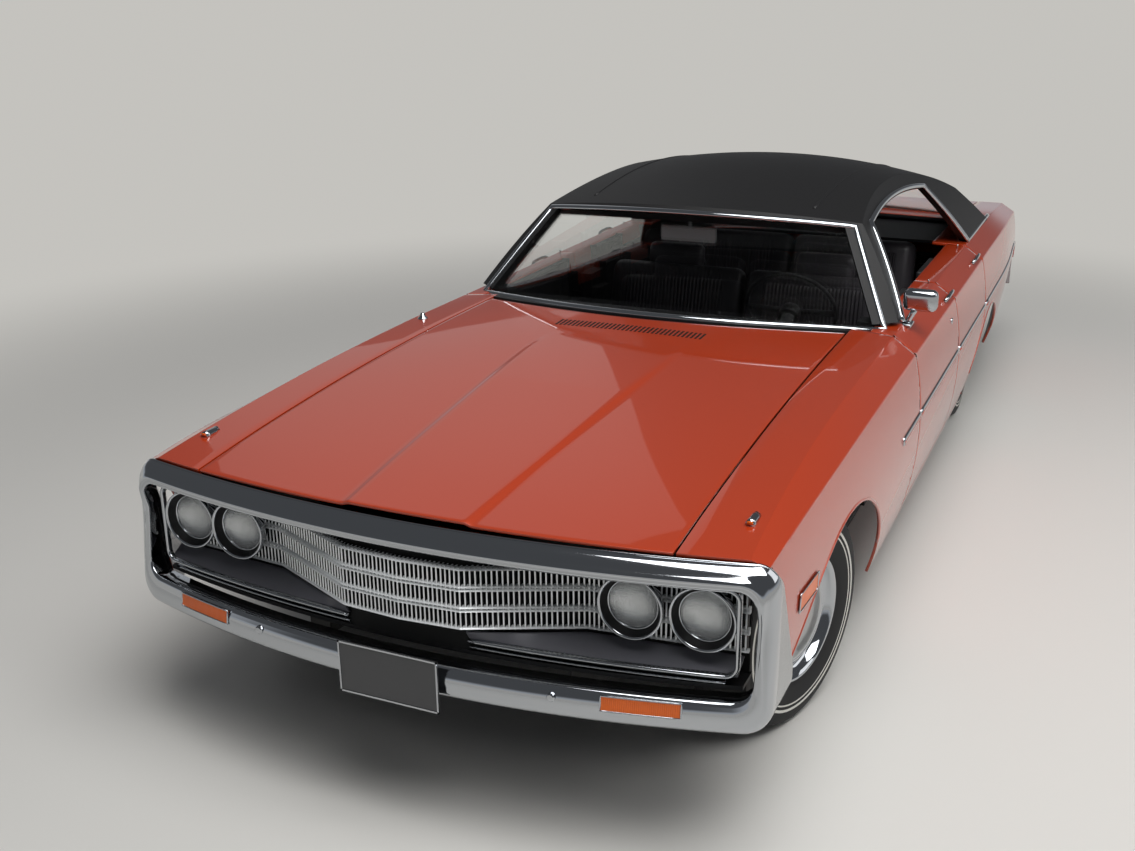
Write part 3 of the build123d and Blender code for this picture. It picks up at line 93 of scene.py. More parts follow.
def circle_through(a, b, c):
    # Centre and radius of the circle through three (x, z) points
    (ax, az), (bx, bz), (cx, cz) = a, b, c
    d = 2 * (ax * (bz - cz) + bx * (cz - az) + cx * (az - bz))
    a2, b2, c2 = ax * ax + az * az, bx * bx + bz * bz, cx * cx + cz * cz
    ux = (a2 * (bz - cz) + b2 * (cz - az) + c2 * (az - bz)) / d
    uz = (a2 * (cx - bx) + b2 * (ax - cx) + c2 * (bx - ax)) / d
    return ux, uz, math.hypot(ax - ux, az - uz)


def side_x(y, z):
    # The bowed flank below the crease: a circle through sill, widest point and crease
    spots = [(column(mark + "_x", y), column(mark + "_z", y)) for mark in ("sill", "wide", "crease")]
    ux, uz, r = circle_through(*spots)
    return ux + math.sqrt(max(r * r - (z - uz) ** 2, 0))


def top_z(y, x):
    # The shallow crown between the shoulders
    sx, sz, cz = column("shoulder_x", y), column("shoulder_z", y), column("crown_z", y)
    rise = cz - sz
    r = (sx * sx + rise * rise) / (2 * rise)
    return cz - r + math.sqrt(r * r - x * x)


def colour(text):
    # sRGB hex to the linear colour a shader takes
    part = [int(text[i:i + 2], 16) / 255 for i in (1, 3, 5)]
    return [c / 12.92 if c <= 0.04045 else ((c + 0.055) / 1.055) ** 2.4 for c in part] + [1.0]


def material(name, text, metallic=0.0, rough=0.5, **sockets):
    # A plain material; sockets are further inputs of its shader, with _ for each space
    made = bpy.data.materials.new(name)
    made.use_nodes = True
    shader = made.node_tree.nodes["Principled BSDF"]
    shader.inputs["Base Color"].default_value = colour(text)
    shader.inputs["Metallic"].default_value = metallic
    shader.inputs["Roughness"].default_value = rough
    for key, value in sockets.items():
        shader.inputs[key.replace("_", " ")].default_value = value
    return made


def patch(bm, across_count, along_count, place, outward, slot=0):
    # A grid moved onto a surface: place(u, v) gives each corner, outward the side its faces look to
    made = bmesh.ops.create_grid(bm, x_segments=across_count, y_segments=along_count, size=0.5)["verts"]
    for vert in made:
        vert.co = place(vert.co.x + 0.5, vert.co.y + 0.5)
    faces = {f for v in made for f in v.link_faces}
    for face in faces:
        face.material_index = slot
        face.normal_update()
    if sum((f.normal.dot(outward) for f in faces), 0.0) < 0:
        bmesh.ops.reverse_faces(bm, faces=list(faces))
    return made


def skin(name, bm, mats, body, wall, replaces=(), inner_slot=0, edge=0.0012):
    # A painted panel: the moved grid gets its wall inward and softly rounded edges
    mesh = bpy.data.meshes.new(name)
    bm.to_mesh(mesh)
    bm.free()
    for made in mats:
        mesh.materials.append(made)
    for face in mesh.polygons:
        face.use_smooth = True
    piece = bpy.data.objects.new(name, mesh)
    bpy.context.scene.collection.objects.link(piece)
    thick = piece.modifiers.new("wall", "SOLIDIFY")
    thick.thickness = wall
    thick.offset = -1
    thick.material_offset = inner_slot
    round_edge = piece.modifiers.new("edge", "BEVEL")
    round_edge.width = edge
    round_edge.segments = 2
    round_edge.limit_method = "ANGLE"
    round_edge.angle_limit = math.radians(60)
    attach(piece, body)
    if replaces:
        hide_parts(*replaces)
    return piece


# Burnt orange metallic enamel under clear lacquer gives sharp lights over a soft sheen; the inside of each
# panel and the black trim are dull, like moulded plastic.
PAINT = material("body_paint", "#b9390c", 0.2, 0.38, Coat_Weight=1.0, Coat_Roughness=0.03)
TRIM_BLACK = material("trim_black", "#101012", 0.0, 0.55)

# Hood: a crowned steel panel between the fenders with two creases that spread towards the windshield and fade.
# Its front edge bows forward, its rear edge follows the windshield, and it hangs on two pins at the rear.
HOOD_HALF = 0.725
HOOD_WALL = 0.008
HOOD_FRONT = (FRONT_AXLE - 0.86, FRONT_AXLE - 0.795)
HOOD_REAR = (FRONT_AXLE + 0.86, FRONT_AXLE + 1.03)
HOOD_STEP = 0.007
HOOD_CREASE = (0.178, 0.25)
HOOD_FADE = (FRONT_AXLE + 0.1, FRONT_AXLE + 0.6)
CREASE_WIDE = 0.02
CREASE_SPREAD = 0.72
CREASE_SHARES = (0.33, 0.37, 0.63, 0.67)


def between(pair, t):
    return pair[0] + (pair[1] - pair[0]) * t


def bowed(x, pair, half):
    return between(pair, (x / half) ** 2)


def hood_point(u, v):
    # Shares across the hood are closer at the two creases
    crease = between(HOOD_CREASE, min(1, v / CREASE_SPREAD))
    places = (-crease - CREASE_WIDE, -crease, crease, crease + CREASE_WIDE)
    knots = [(0, -HOOD_HALF), *zip(CREASE_SHARES, places), (1, HOOD_HALF)]
    for (a, x0), (b, x1) in zip(knots, knots[1:]):
        if a <= u <= b + 1e-9:
            x = x0 + (x1 - x0) * (u - a) / (b - a)
            break
    y = between((bowed(x, HOOD_FRONT, HOOD_HALF), bowed(x, HOOD_REAR, HOOD_HALF)), v)
    fade = 1 - min(1, max(0, (y - HOOD_FADE[0]) / (HOOD_FADE[1] - HOOD_FADE[0])))
    raised = 1 - min(1, max(0, (abs(x) - crease) / CREASE_WIDE))
    return Vector((x, y, top_z(y, x) + HOOD_STEP * fade * raised))


bm = bmesh.new()
patch(bm, 100, 110, hood_point, Vector((0, 0, 1)))
skin("hood_skin", bm, [PAINT, TRIM_BLACK], "hood", HOOD_WALL, ["hood"], 1)

# Front fenders: steel panels beside the hood, each with its top, sloped strip and bowed flank in one patch.
# The wheel arch is the lower edge, and the front edge follows the bumper.
FENDER_WALL = 0.01
PANEL_GAP = 0.0075
DOOR_LEAD = FRONT_AXLE + 1.115
NOSE_TOP = FRONT_AXLE - 0.745
NOSE_LOW = FRONT_AXLE - 0.56
NOSE_HALF = 0.957
NOSE_LIP_Z = 0.832
SLANT_LOW = 0.5
SLANT_TOP = 0.85
ARCH_FRONT = (FRONT_AXLE, 0.043, 0.647)
STRIP_ROWS = [("strip", t) for t in (0, 0.06, 0.3, 0.7, 0.94, 1)]
FLANK_SHARES = (0.015, 0.06, 0.13, 0.2, 0.28, 0.36, 0.44, 0.52, 0.6, 0.68, 0.76, 0.84, 0.9, 0.95, 0.985, 1)
FLANK_ROWS = [("flank", t) for t in FLANK_SHARES]


def lower_edge(y, arch):
    # The flank ends at the sill, or at the wheel arch where that is higher
    low = column("sill_z", y)
    reach = arch[2] ** 2 - (y - arch[0]) ** 2
    return max(low, arch[1] + math.sqrt(reach)) if reach > 0 else low


def top_rows(inner, count):
    return [("top", inner, t) for t in [i / count for i in range(count)] + [0.985]]


def fender_front(x, z):
    # Bowed across the top, slanting back down the side behind the end of the bumper
    bow = NOSE_TOP + (HOOD_FRONT[0] - NOSE_TOP) * (1 - (min(x, NOSE_HALF) / NOSE_HALF) ** 2)
    if z > NOSE_LIP_Z:
        return bow
    down = (SLANT_TOP - max(z, SLANT_LOW)) / (SLANT_TOP - SLANT_LOW)
    slant = NOSE_TOP + PANEL_GAP + down * (NOSE_LOW - NOSE_TOP - PANEL_GAP)
    return max(bow, slant)


def row_point(row, y, z_low):
    # A point of the half section: down the sloped strip to the crease, or down the flank to z_low
    kind, t = row
    if kind == "strip":
        a = Vector((column("shoulder_x", y), y, column("shoulder_z", y)))
        b = Vector((column("crease_x", y), y, column("crease_z", y)))
        return a.lerp(b, t)
    z = column("crease_z", y) + (z_low - column("crease_z", y)) * t
    return Vector((side_x(y, z), y, z))


def panel_point(row, u, front, rear, low, side):
    # A panel corner on the skin for a row and a share of the way from its front to its rear edge
    x, z = 0.95, 0.8
    for _ in range(4):
        y = front(x, z) + (rear(x, z) - front(x, z)) * u
        if row[0] == "top":
            x = row[1] + (column("shoulder_x", y) - row[1]) * row[2]
            z = top_z(y, x)
        else:
            spot = row_point(row, y, low(y))
            x, z = spot.x, spot.z
    return Vector((side * x, y, z))


def panel(bm, rows, spread, front, rear, low, side):
    def place(u, v):
        row = rows[round(v * (len(rows) - 1))]
        return panel_point(row, spread[round(u * (len(spread) - 1))], front, rear, low, side)

    return patch(bm, len(spread) - 1, len(rows) - 1, place, Vector((side, 0, 0.4)))


def dense(count, marks, width, extra):
    # Even shares from 0 to 1 with extra ones close to the marks
    shares = {i / count for i in range(count + 1)}
    for mark in marks:
        for k in range(-extra, extra + 1):
            shares.add(min(1, max(0, mark + k * width / extra)))
    return sorted(shares)


ARCH_REACH = (-0.6, 0.61)
span = DOOR_LEAD - PANEL_GAP - NOSE_LOW
arch_marks = [(ARCH_FRONT[0] + d - NOSE_LOW) / span for d in ARCH_REACH]
wing_rows = top_rows(HOOD_HALF + PANEL_GAP, 5) + STRIP_ROWS + FLANK_ROWS
for side, name in ((1, "left"), (-1, "right")):
    bm = bmesh.new()
    panel(bm, wing_rows, dense(90, arch_marks, 0.05, 8), fender_front, lambda x, z: DOOR_LEAD - PANEL_GAP,
          lambda y: lower_edge(y, ARCH_FRONT), side)
    skin("fender_skin_" + name, bm, [PAINT, TRIM_BLACK], "body", FENDER_WALL, ["front_fender_" + name], 1)

# Doors: steel shells on hinges at their front edges, with shut faces that lean forward on the inside.
# Each skin is as thick as the whole door, and a black moulded panel covers its inner face.
DOOR_SPLIT = FRONT_AXLE + 2.045
DOOR_TRAIL = FRONT_AXLE + 2.905
DOOR_BOTTOM = 0.3
DOGLEG = (0.64, 0.3)
LEAN = 0.13
DOOR_TOP_IN = 0.8
DOOR_THICK = 0.075
LEAN_FROM = 1.02


def leaning(y, x):
    return y - LEAN * (LEAN_FROM - x)


def door_rear_edge(x, z):
    back = DOOR_TRAIL - max(0, (DOGLEG[0] - z) / (DOGLEG[0] - DOOR_BOTTOM)) * DOGLEG[1]
    return leaning(back, x)


for side, name in ((1, "left"), (-1, "right")):
    for where, front, rear in (
        ("front", lambda x, z: DOOR_LEAD, lambda x, z: leaning(DOOR_SPLIT, x)),
        ("rear", lambda x, z: leaning(DOOR_SPLIT + PANEL_GAP, x), door_rear_edge),
    ):
        bm = bmesh.new()
        panel(bm, top_rows(DOOR_TOP_IN, 4) + STRIP_ROWS + FLANK_ROWS, dense(40, [], 1, 1), front, rear,
              lambda y: DOOR_BOTTOM, side)
        body = f"door_{where}_{name}"
        skin(f"door_skin_{where}_{name}", bm, [PAINT, TRIM_BLACK], body, DOOR_THICK, [body], 1)

def finish(name, bm, mats, body, smooth=True, replaces=()):
    # A finished piece: mesh with its materials, riding its body
    bmesh.ops.recalc_face_normals(bm, faces=bm.faces)
    mesh = bpy.data.meshes.new(name)
    bm.to_mesh(mesh)
    bm.free()
    for made in mats:
        mesh.materials.append(made)
    for face in mesh.polygons:
        face.use_smooth = smooth
    piece = bpy.data.objects.new(name, mesh)
    bpy.context.scene.collection.objects.link(piece)
    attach(piece, body)
    if replaces:
        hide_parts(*replaces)
    return piece


DOOR_TRIM_X = (0.77, 0.795)
DOOR_TRIM_Z = (0.345, 0.94)
DOOR_TRIM_ROUND = 0.008
TRIM_RUNS = {"front": (DOOR_LEAD + 0.14, DOOR_SPLIT - 0.16), "rear": (DOOR_SPLIT + 0.17, DOOR_TRAIL - 0.36)}
for side, name in ((1, "left"), (-1, "right")):
    for where, run in TRIM_RUNS.items():
        bm = bmesh.new()
        for vert in bmesh.ops.create_cube(bm, size=1)["verts"]:
            across, along, up = vert.co + Vector((0.5, 0.5, 0.5))
            vert.co = Vector((side * between(DOOR_TRIM_X, across), between(run, along), between(DOOR_TRIM_Z, up)))
        bmesh.ops.bevel(bm, geom=bm.edges[:], offset=DOOR_TRIM_ROUND, affect="EDGES", segments=3,
                        profile=0.5, material=-1)
        finish(f"door_trim_{where}_{name}", bm, [TRIM_BLACK], f"door_{where}_{name}")

# Quarter panels: steel, from the rear door to the tail around the wheel arch, with the strip before the arch.
# At the tail each one folds inward and meets the tail panel.
QUARTER_WALL = 0.012
ARCH_REAR = (REAR_AXLE, 0.04, 0.56)
QUARTER_END = TAIL - 0.15
QUARTER_LOW_Y = DOOR_TRAIL + PANEL_GAP
ARCH_REAR_REACH = 0.5
TAIL_FOLD_TO = (0.7, 0.66)
TAIL_FOLD_SHARE = 0.35
SLANT_STRETCH = 1.3
STRIP_Y = 1.0


def dogleg_point(u, v, side):
    # The strip between the slanting rear edge of the door and the wheel arch
    z = DOGLEG[0] + (DOOR_BOTTOM - PANEL_GAP - DOGLEG[0]) * v
    x = side_x(STRIP_Y, z)
    near = door_rear_edge(x, z) + PANEL_GAP * SLANT_STRETCH
    reach = ARCH_REAR[2] ** 2 - (z - ARCH_REAR[1]) ** 2
    far = leaning(QUARTER_LOW_Y, x)
    if reach > 0:
        far = min(far, ARCH_REAR[0] - math.sqrt(reach))
    y = near + (far - near) * u
    return Vector((side * side_x(y, z), y, z))


for side, name in ((1, "left"), (-1, "right")):
    bm = bmesh.new()
    quarter_span = QUARTER_END - QUARTER_LOW_Y
    edges = (lambda x, z: leaning(QUARTER_LOW_Y, x), lambda x, z: QUARTER_END,
             lambda y: lower_edge(y, ARCH_REAR))
    arch_mark = (ARCH_REAR[0] + ARCH_REAR_REACH - QUARTER_LOW_Y) / quarter_span
    panel(bm, wing_rows, dense(80, [arch_mark], 0.05, 8), *edges, side)

    def tail_fold(u, v):
        rim = panel_point(wing_rows[round(u * (len(wing_rows) - 1))], 1, *edges, side)
        spot = rim.lerp(Vector((side * TAIL_FOLD_TO[0], QUARTER_END, TAIL_FOLD_TO[1])), TAIL_FOLD_SHARE * v)
        spot.x = side * max(abs(spot.x), HOOD_HALF + PANEL_GAP)
        return spot

    patch(bm, len(wing_rows) - 1, 2, tail_fold, Vector((0, 1, 0)))
    bmesh.ops.remove_doubles(bm, verts=bm.verts, dist=1e-5)
    patch(bm, 6, 24, lambda u, v: dogleg_point(u, v, side), Vector((side, 0, 0)))
    skin("quarter_skin_" + name, bm, [PAINT, TRIM_BLACK], "body", QUARTER_WALL, ["quarter_panel_" + name], 1)

# Trunk lid: a steel panel that swings up on pins at its front edge, with a lip turned down at the rear
LID_WALL = 0.008
LID_FRONT = TAIL - 0.88
LID_REAR = TAIL - 0.165
LID_LIP = 0.05
LIP_SLOPE = 0.002


def lid_point(u, v):
    x = -HOOD_HALF + 2 * HOOD_HALF * u
    y = between((LID_FRONT, LID_REAR), v)
    return Vector((x, y, top_z(y, x)))


def lid_lip(u, v):
    return lid_point(u, 1) + Vector((0, LIP_SLOPE * v, -LID_LIP * v))


bm = bmesh.new()
patch(bm, 60, 40, lid_point, Vector((0, 0, 1)))
patch(bm, 60, 3, lid_lip, Vector((0, 1, 0)))
bmesh.ops.remove_doubles(bm, verts=bm.verts, dist=1e-5)
skin("lid_skin", bm, [PAINT, TRIM_BLACK], "trunk_lid", LID_WALL, ["trunk_lid"], 1)

# Sills: painted steel boxes below the doors, with a flat top that the doors clear by the panel gap
SILL_WALL = 0.01
SILL_END = DOOR_TRAIL - 0.3 - PANEL_GAP
SILL_IN = 0.79
bm = bmesh.new()
for side in (1, -1):
    def sill_point(u, v):
        y = between((DOOR_LEAD - PANEL_GAP, SILL_END), u)
        z = between((column("sill_z", y), DOOR_BOTTOM - PANEL_GAP), v)
        return Vector((side * side_x(y, z), y, z))

    def sill_top(u, v):
        edge = sill_point(u, 1)
        return Vector((edge.x + (side * SILL_IN - edge.x) * v, edge.y, edge.z))

    patch(bm, 30, 8, sill_point, Vector((side, 0, 0)))
    patch(bm, 30, 4, sill_top, Vector((0, 0, 1)))
bmesh.ops.remove_doubles(bm, verts=bm.verts, dist=1e-5)
skin("sill_skin", bm, [PAINT], "body", SILL_WALL, ["rockers"])

# Rear deck: a painted steel filler between the rear window and the lid, just over the black shelf
DECK_RUN = (LID_FRONT - 0.27, LID_FRONT - 0.016)
DECK_HALF = 0.73
DECK_LIFT = 0.001
DECK_WALL = 0.004


def deck_point(u, v):
    x = -DECK_HALF + 2 * DECK_HALF * u
    y = between(DECK_RUN, v)
    return Vector((x, y, top_z(y, x) + DECK_LIFT))


bm = bmesh.new()
patch(bm, 40, 12, deck_point, Vector((0, 0, 1)))
skin("rear_deck", bm, [PAINT], "body", DECK_WALL)

# Pieces whose solids already have the right shape: roof, glass, rear bumper, cabin and chassis get their
# finish. Chrome mirrors, vinyl has a fine leather grain, the underside is dull, lenses are fluted plastic.


def add_node(tree, kind, **values):
    # The one function that adds a shader node and sets its sockets and settings
    node = tree.nodes.new(kind)
    for key, value in values.items():
        if key in node.inputs:
            node.inputs[key].default_value = value
        else:
            setattr(node, key, value)
    return node


def grain(made, scale, strength, distance, detail=2.0, kind="ShaderNodeTexNoise"):
    # Fine relief on a material, sized in metres through object coordinates
    tree = made.node_tree
    where = add_node(tree, "ShaderNodeTexCoord")
    texture = add_node(tree, kind, Scale=scale)
    if kind == "ShaderNodeTexNoise":
        texture.inputs["Detail"].default_value = detail
    bump = add_node(tree, "ShaderNodeBump", Strength=strength, Distance=distance)
    tree.links.new(where.outputs["Object"], texture.inputs["Vector"])
    tree.links.new(texture.outputs[0], bump.inputs["Height"])
    tree.links.new(bump.outputs["Normal"], tree.nodes["Principled BSDF"].inputs["Normal"])
    return made


def dress(made, *names):
    # A better material on solids whose shape is already right
    for name in names:
        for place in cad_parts[name].material_slots:
            place.material = made


CHROME = material("chrome", "#b6b9bd", 1.0, 0.07)
VINYL = grain(material("vinyl", "#0d0c0d", 0.0, 0.55), 420, 0.5, 0.0006)
GLASS = material("glass", "#e8efec", 0.0, 0.02, Transmission_Weight=1.0, IOR=1.06, Alpha=0.28)
DARK_STEEL = material("steel", "#33312f", 0.8, 0.5)
UNDERCOAT = material("underbody_paint", "#1b1a19", 0.0, 0.8)
AMBER = material("amber_lens", "#e8660a", 0.0, 0.3, Coat_Weight=0.15)
grain(AMBER, 60, 0.5, 0.002, 0.0, "ShaderNodeTexWave")
RED = material("red_lens", "#a30d10", 0.0, 0.3, Coat_Weight=0.15)
dress(VINYL, "roof")
dress(GLASS, "windshield", "rear_window")
dress(CHROME, "rear_bumper")
dress(material("steel.mirror_back", "#85878a", 0.2, 0.4), "inside_mirror")
dress(TRIM_BLACK, "rear_shelf", "firewall", "dashboard", "steering_column", "grille_tray", "door_posts")
dress(UNDERCOAT, "underbody", "engine_bay_walls")
dress(DARK_STEEL, "engine", "drive_shaft", "exhaust", "fuel_tank", "rear_axle", "leaf_springs",
      "front_suspension", "knuckle_left", "knuckle_right", "door_hinges")
dress(PAINT, "tail_panel")
dress(RED, "tail_lamps")


# Roof trim: bright pressed mouldings round the windshield and the rear window, along the side windows and the
# foot of the vinyl, clipped to the body, and two sewn seams that run along the top.
MOULDING_FOOT = 0.004


def tube(bm, path, ups, profile, slot=0, closed=False):
    # A bar along a path: profile holds (side, up) offsets that go round its section once
    count = len(path)
    steps = count if closed else count - 1
    turns = len(profile)

    def place(u, v):
        k = round(v * steps) % count
        ahead = path[(k + 1) % count] if closed or k < count - 1 else path[k]
        behind = path[k - 1] if closed or k > 0 else path[k]
        run = (ahead - behind).normalized()
        up = (ups[k] - run * ups[k].dot(run)).normalized()
        side, rise = profile[round(u * turns) % turns]
        return path[k] + run.cross(up) * side + up * rise

    made = bmesh.ops.create_grid(bm, x_segments=turns, y_segments=steps, size=0.5)["verts"]
    for vert in made:
        vert.co = place(vert.co.x + 0.5, vert.co.y + 0.5)
    faces = list({f for v in made for f in v.link_faces})
    for face in faces:
        face.material_index = slot
    bmesh.ops.remove_doubles(bm, verts=made, dist=1e-6)
    faces = [f for f in faces if f.is_valid]
    if not closed:
        rims = [e for f in faces for e in f.edges if e.is_boundary]
        for face in bmesh.ops.holes_fill(bm, edges=list(set(rims)), sides=0)["faces"]:
            face.material_index = slot
    return faces


def half_round(wide, high, steps=8):
    # Section of a moulding: a bow on a short foot that sinks into the panel
    turn = [math.pi * k / steps for k in range(steps + 1)]
    bow = [(wide / 2 * math.cos(a), high * math.sin(a)) for a in turn]
    return bow + [(-wide / 2, -MOULDING_FOOT), (wide / 2, -MOULDING_FOOT)]


def ring(radius, steps=10):
    turn = [2 * math.pi * k / steps for k in range(steps)]
    return [(radius * math.cos(a), radius * math.sin(a)) for a in turn]


SHIELD = (Vector((0, FRONT_AXLE + 0.887, 0.97)), Vector((0, 0.448, 0.345)).normalized(), 1.8, -1)
BACK = (Vector((0, TAIL - 0.902, 0.955)), Vector((0, -0.69, 0.345)).normalized(), 5.2, 1)
SHIELD_EDGE = (0.83, 0.222, 0.637, 0.622, 0.034, 0.532)
BACK_EDGE = (0.69, 0.075, 0.56, 0.64, 0.02, 0.69)
SHIELD_GROW = 0.012
BACK_GROW = 0.008
FRAME_SECTION = (0.024, 0.008)


# A pane is a base point, its slope, the radius it is bent to and the way it faces; an edge holds half width
# and way up the slope at the lower and upper corners, and the way up at the middle of both.
def pane_point(pane, across, along):
    base, slope, radius, facing = pane
    inward = Vector((1, 0, 0)).cross(slope) * facing
    return base + Vector((across, 0, 0)) + slope * along + inward * (radius - math.sqrt(radius**2 - across**2))


def pane_out(pane, across):
    base, slope, radius, facing = pane
    outward = Vector((1, 0, 0)).cross(slope) * -facing
    return (outward * math.sqrt(1 - (across / radius) ** 2) + Vector((across / radius, 0, 0))).normalized()


def pane_loop(edge, grow):
    low_x, low_s, high_x, high_s, low_mid, high_mid = edge
    loop = []
    for k in range(41):
        x = -low_x - grow + 2 * (low_x + grow) * k / 40
        loop.append((x, low_mid - grow + (low_s - low_mid) * (x / low_x) ** 2))
    for k in range(1, 21):
        t = k / 21
        loop.append((low_x + grow + (high_x - low_x) * t, low_s - grow + (high_s - low_s + 2 * grow) * t))
    for k in range(41):
        x = high_x + grow - 2 * (high_x + grow) * k / 40
        loop.append((x, high_mid + grow + (high_s - high_mid) * (x / high_x) ** 2))
    for k in range(1, 21):
        t = 1 - k / 21
        loop.append((-low_x - grow - (high_x - low_x) * t, low_s - grow + (high_s - low_s + 2 * grow) * t))
    return loop


bm = bmesh.new()
for pane, edge, grow in ((SHIELD, SHIELD_EDGE, SHIELD_GROW), (BACK, BACK_EDGE, BACK_GROW)):
    loop = pane_loop(edge, grow)
    path = [pane_point(pane, a, b) for a, b in loop]
    tube(bm, path, [pane_out(pane, a) for a, b in loop], half_round(*FRAME_SECTION), 0, True)
finish("window_frames", bm, [CHROME], "body")

CAB_SIDE = ((0.885, 0.938), (0.793, 1.098), (0.655, 1.288))


def cab_x(z):
    ux, uz, r = circle_through(*CAB_SIDE)
    reach = math.sqrt(r * r - (z - uz) ** 2)
    return ux + reach if ux < CAB_SIDE[1][0] else ux - reach


WINDOW_FOOT = (FRONT_AXLE + 1.297, 0.945)
WINDOW_TOP = (FRONT_AXLE + 1.592, 1.258), (FRONT_AXLE + 2.12, 1.286), (FRONT_AXLE + 2.712, 1.243)
WINDOW_HEEL = (FRONT_AXLE + 2.99, 0.946)
SIDE_FRAME = (0.026, 0.012)
SIDE_FRAME_OUT = 0.001
VINYL_EDGE = (0.02, 0.008)
VINYL_EDGE_IN = 0.006
VINYL_EDGE_UP = 0.004
VINYL_END = TAIL - 0.92


def window_top(y):
    # A parabola through three points of the upper edge
    (ay, az), (by, bz), (cy, cz) = WINDOW_TOP
    a = az * (y - by) * (y - cy) / ((ay - by) * (ay - cy))
    b = bz * (y - ay) * (y - cy) / ((by - ay) * (by - cy))
    c = cz * (y - ay) * (y - by) / ((cy - ay) * (cy - by))
    return a + b + c


def side_frame():
    # Side window outline as (y, z), from the foot of the windshield post over the top to the rear corner
    (foot_y, foot_z), (heel_y, heel_z) = WINDOW_FOOT, WINDOW_HEEL
    (ay, az), _, (cy, cz) = WINDOW_TOP
    line = [(between((foot_y, ay), k / 16), between((foot_z, az), k / 16)) for k in range(17)]
    line += [(y, window_top(y)) for y in [between((ay, cy), k / 40) for k in range(1, 41)]]
    return line + [(between((cy, heel_y), k / 16), between((cz, heel_z), k / 16)) for k in range(1, 17)]


bm = bmesh.new()
for side in (1, -1):
    line = side_frame()
    path = [Vector((side * (cab_x(z) + SIDE_FRAME_OUT), y, z)) for y, z in line]
    tube(bm, path, [Vector((side * 0.8, 0, 0.6))] * len(line), half_round(*SIDE_FRAME))
    foot = [between((WINDOW_HEEL[0], VINYL_END), k / 24) for k in range(25)]
    path = [Vector((side * (column("shoulder_x", y) - VINYL_EDGE_IN), y, column("shoulder_z", y) + VINYL_EDGE_UP))
            for y in foot]
    tube(bm, path, [Vector((side * 0.6, 0, 0.8))] * len(foot), half_round(*VINYL_EDGE))
finish("side_window_frames", bm, [CHROME], "body")

ROOF_TOP = 1.402
ROOF_MID_Y = FRONT_AXLE + 2.175
ROOF_LENGTH_R = 4.35
ROOF_CROSS_R = 3.0
SEAM_X = 0.47
SEAM_RUN = (-0.36, 1.26)
SEAM_SECTION = (0.012, 0.0035)


def roof_z(x, y):
    # The roof is crowned along and across
    ring_r = ROOF_LENGTH_R - ROOF_CROSS_R + math.sqrt(ROOF_CROSS_R**2 - x * x)
    return ROOF_TOP - ROOF_LENGTH_R + math.sqrt(ring_r**2 - (y - ROOF_MID_Y) ** 2)


bm = bmesh.new()
for side in (1, -1):
    path = [Vector((side * SEAM_X, y, roof_z(SEAM_X, y))) for y in [between(SEAM_RUN, k / 40) for k in range(41)]]
    tube(bm, path, [Vector((side * 0.16, 0, 1))] * len(path), half_round(*SEAM_SECTION))
finish("roof_seams", bm, [VINYL], "body")

# Grille: fine die-cast fins in three rows between bright cross bars, bent to a shallow V across the car.
# The fins are bright in front and black on their sides. A near-black dull sheet closes the space behind them; its
# colour is painted shade for the dark hollow behind the grille.
GRILLE_LINE = ((0, FRONT_AXLE - 0.915), (0.176, FRONT_AXLE - 0.903), (0.48, FRONT_AXLE - 0.765),
               (0.9045, FRONT_AXLE - 0.725))
GRILLE_Z = (0.578, 0.756)
FIN_PITCH = 0.0128
FINS_A_SIDE = 70
FIN_WIDE = 0.0048
FIN_DEEP = 0.02
FIN_BACK = 0.014
CROSS_BAR = (0.008, 0.014)
CROSS_BAR_BACK = 0.012
CROSS_BAR_EDGE = 0.0045
CROSS_BAR_PAIR = 0.005
FORWARD = Vector((0, -1, 0))


def grille_y(x):
    for (x0, y0), (x1, y1) in zip(GRILLE_LINE, GRILLE_LINE[1:]):
        if abs(x) <= x1:
            return y0 + (y1 - y0) * (abs(x) - x0) / (x1 - x0)
    return GRILLE_LINE[-1][1]


def block(bm, centre, size, slot=0):
    made = bmesh.ops.create_cube(bm, size=1)["verts"]
    for vert in made:
        vert.co = Vector((vert.co.x * size[0], vert.co.y * size[1], vert.co.z * size[2])) + Vector(centre)
    for face in {f for v in made for f in v.link_faces}:
        face.material_index = slot


bm = bmesh.new()
for k in range(-FINS_A_SIDE, FINS_A_SIDE + 1):
    x = k * FIN_PITCH
    centre = (x, grille_y(x) + FIN_BACK, sum(GRILLE_Z) / 2)
    block(bm, centre, (FIN_WIDE, FIN_DEEP, GRILLE_Z[1] - GRILLE_Z[0]))
bm.normal_update()
for face in bm.faces:
    face.material_index = 1 if abs(face.normal.x) > 0.7 else 0
ends = [-x for x, _ in GRILLE_LINE[:0:-1]] + [x for x, _ in GRILLE_LINE]
third = (GRILLE_Z[1] - GRILLE_Z[0]) / 3
rows = [GRILLE_Z[0] + CROSS_BAR_EDGE, GRILLE_Z[1] - CROSS_BAR_EDGE]
rows += [GRILLE_Z[0] + third * k + d for k in (1, 2) for d in (-CROSS_BAR_PAIR, CROSS_BAR_PAIR)]
for z in rows:
    path = [Vector((x, grille_y(x) + CROSS_BAR_BACK, z)) for x in ends]
    tube(bm, path, [FORWARD] * len(ends), half_round(*CROSS_BAR, 4))
GRILLE_METAL = material("chrome.grille", "#f2f4f5", 0.25, 0.3)
finish("grille_bars", bm, [GRILLE_METAL, TRIM_BLACK], "body", False, ["grille"])

BACKING_HALF = 0.9
BACKING_Z = (0.5, 0.83)
BACKING_SET = 0.035
BACKING_WALL = 0.004


def backing_point(u, v):
    x = -BACKING_HALF + 2 * BACKING_HALF * u
    return Vector((x, grille_y(x) + BACKING_SET, between(BACKING_Z, v)))
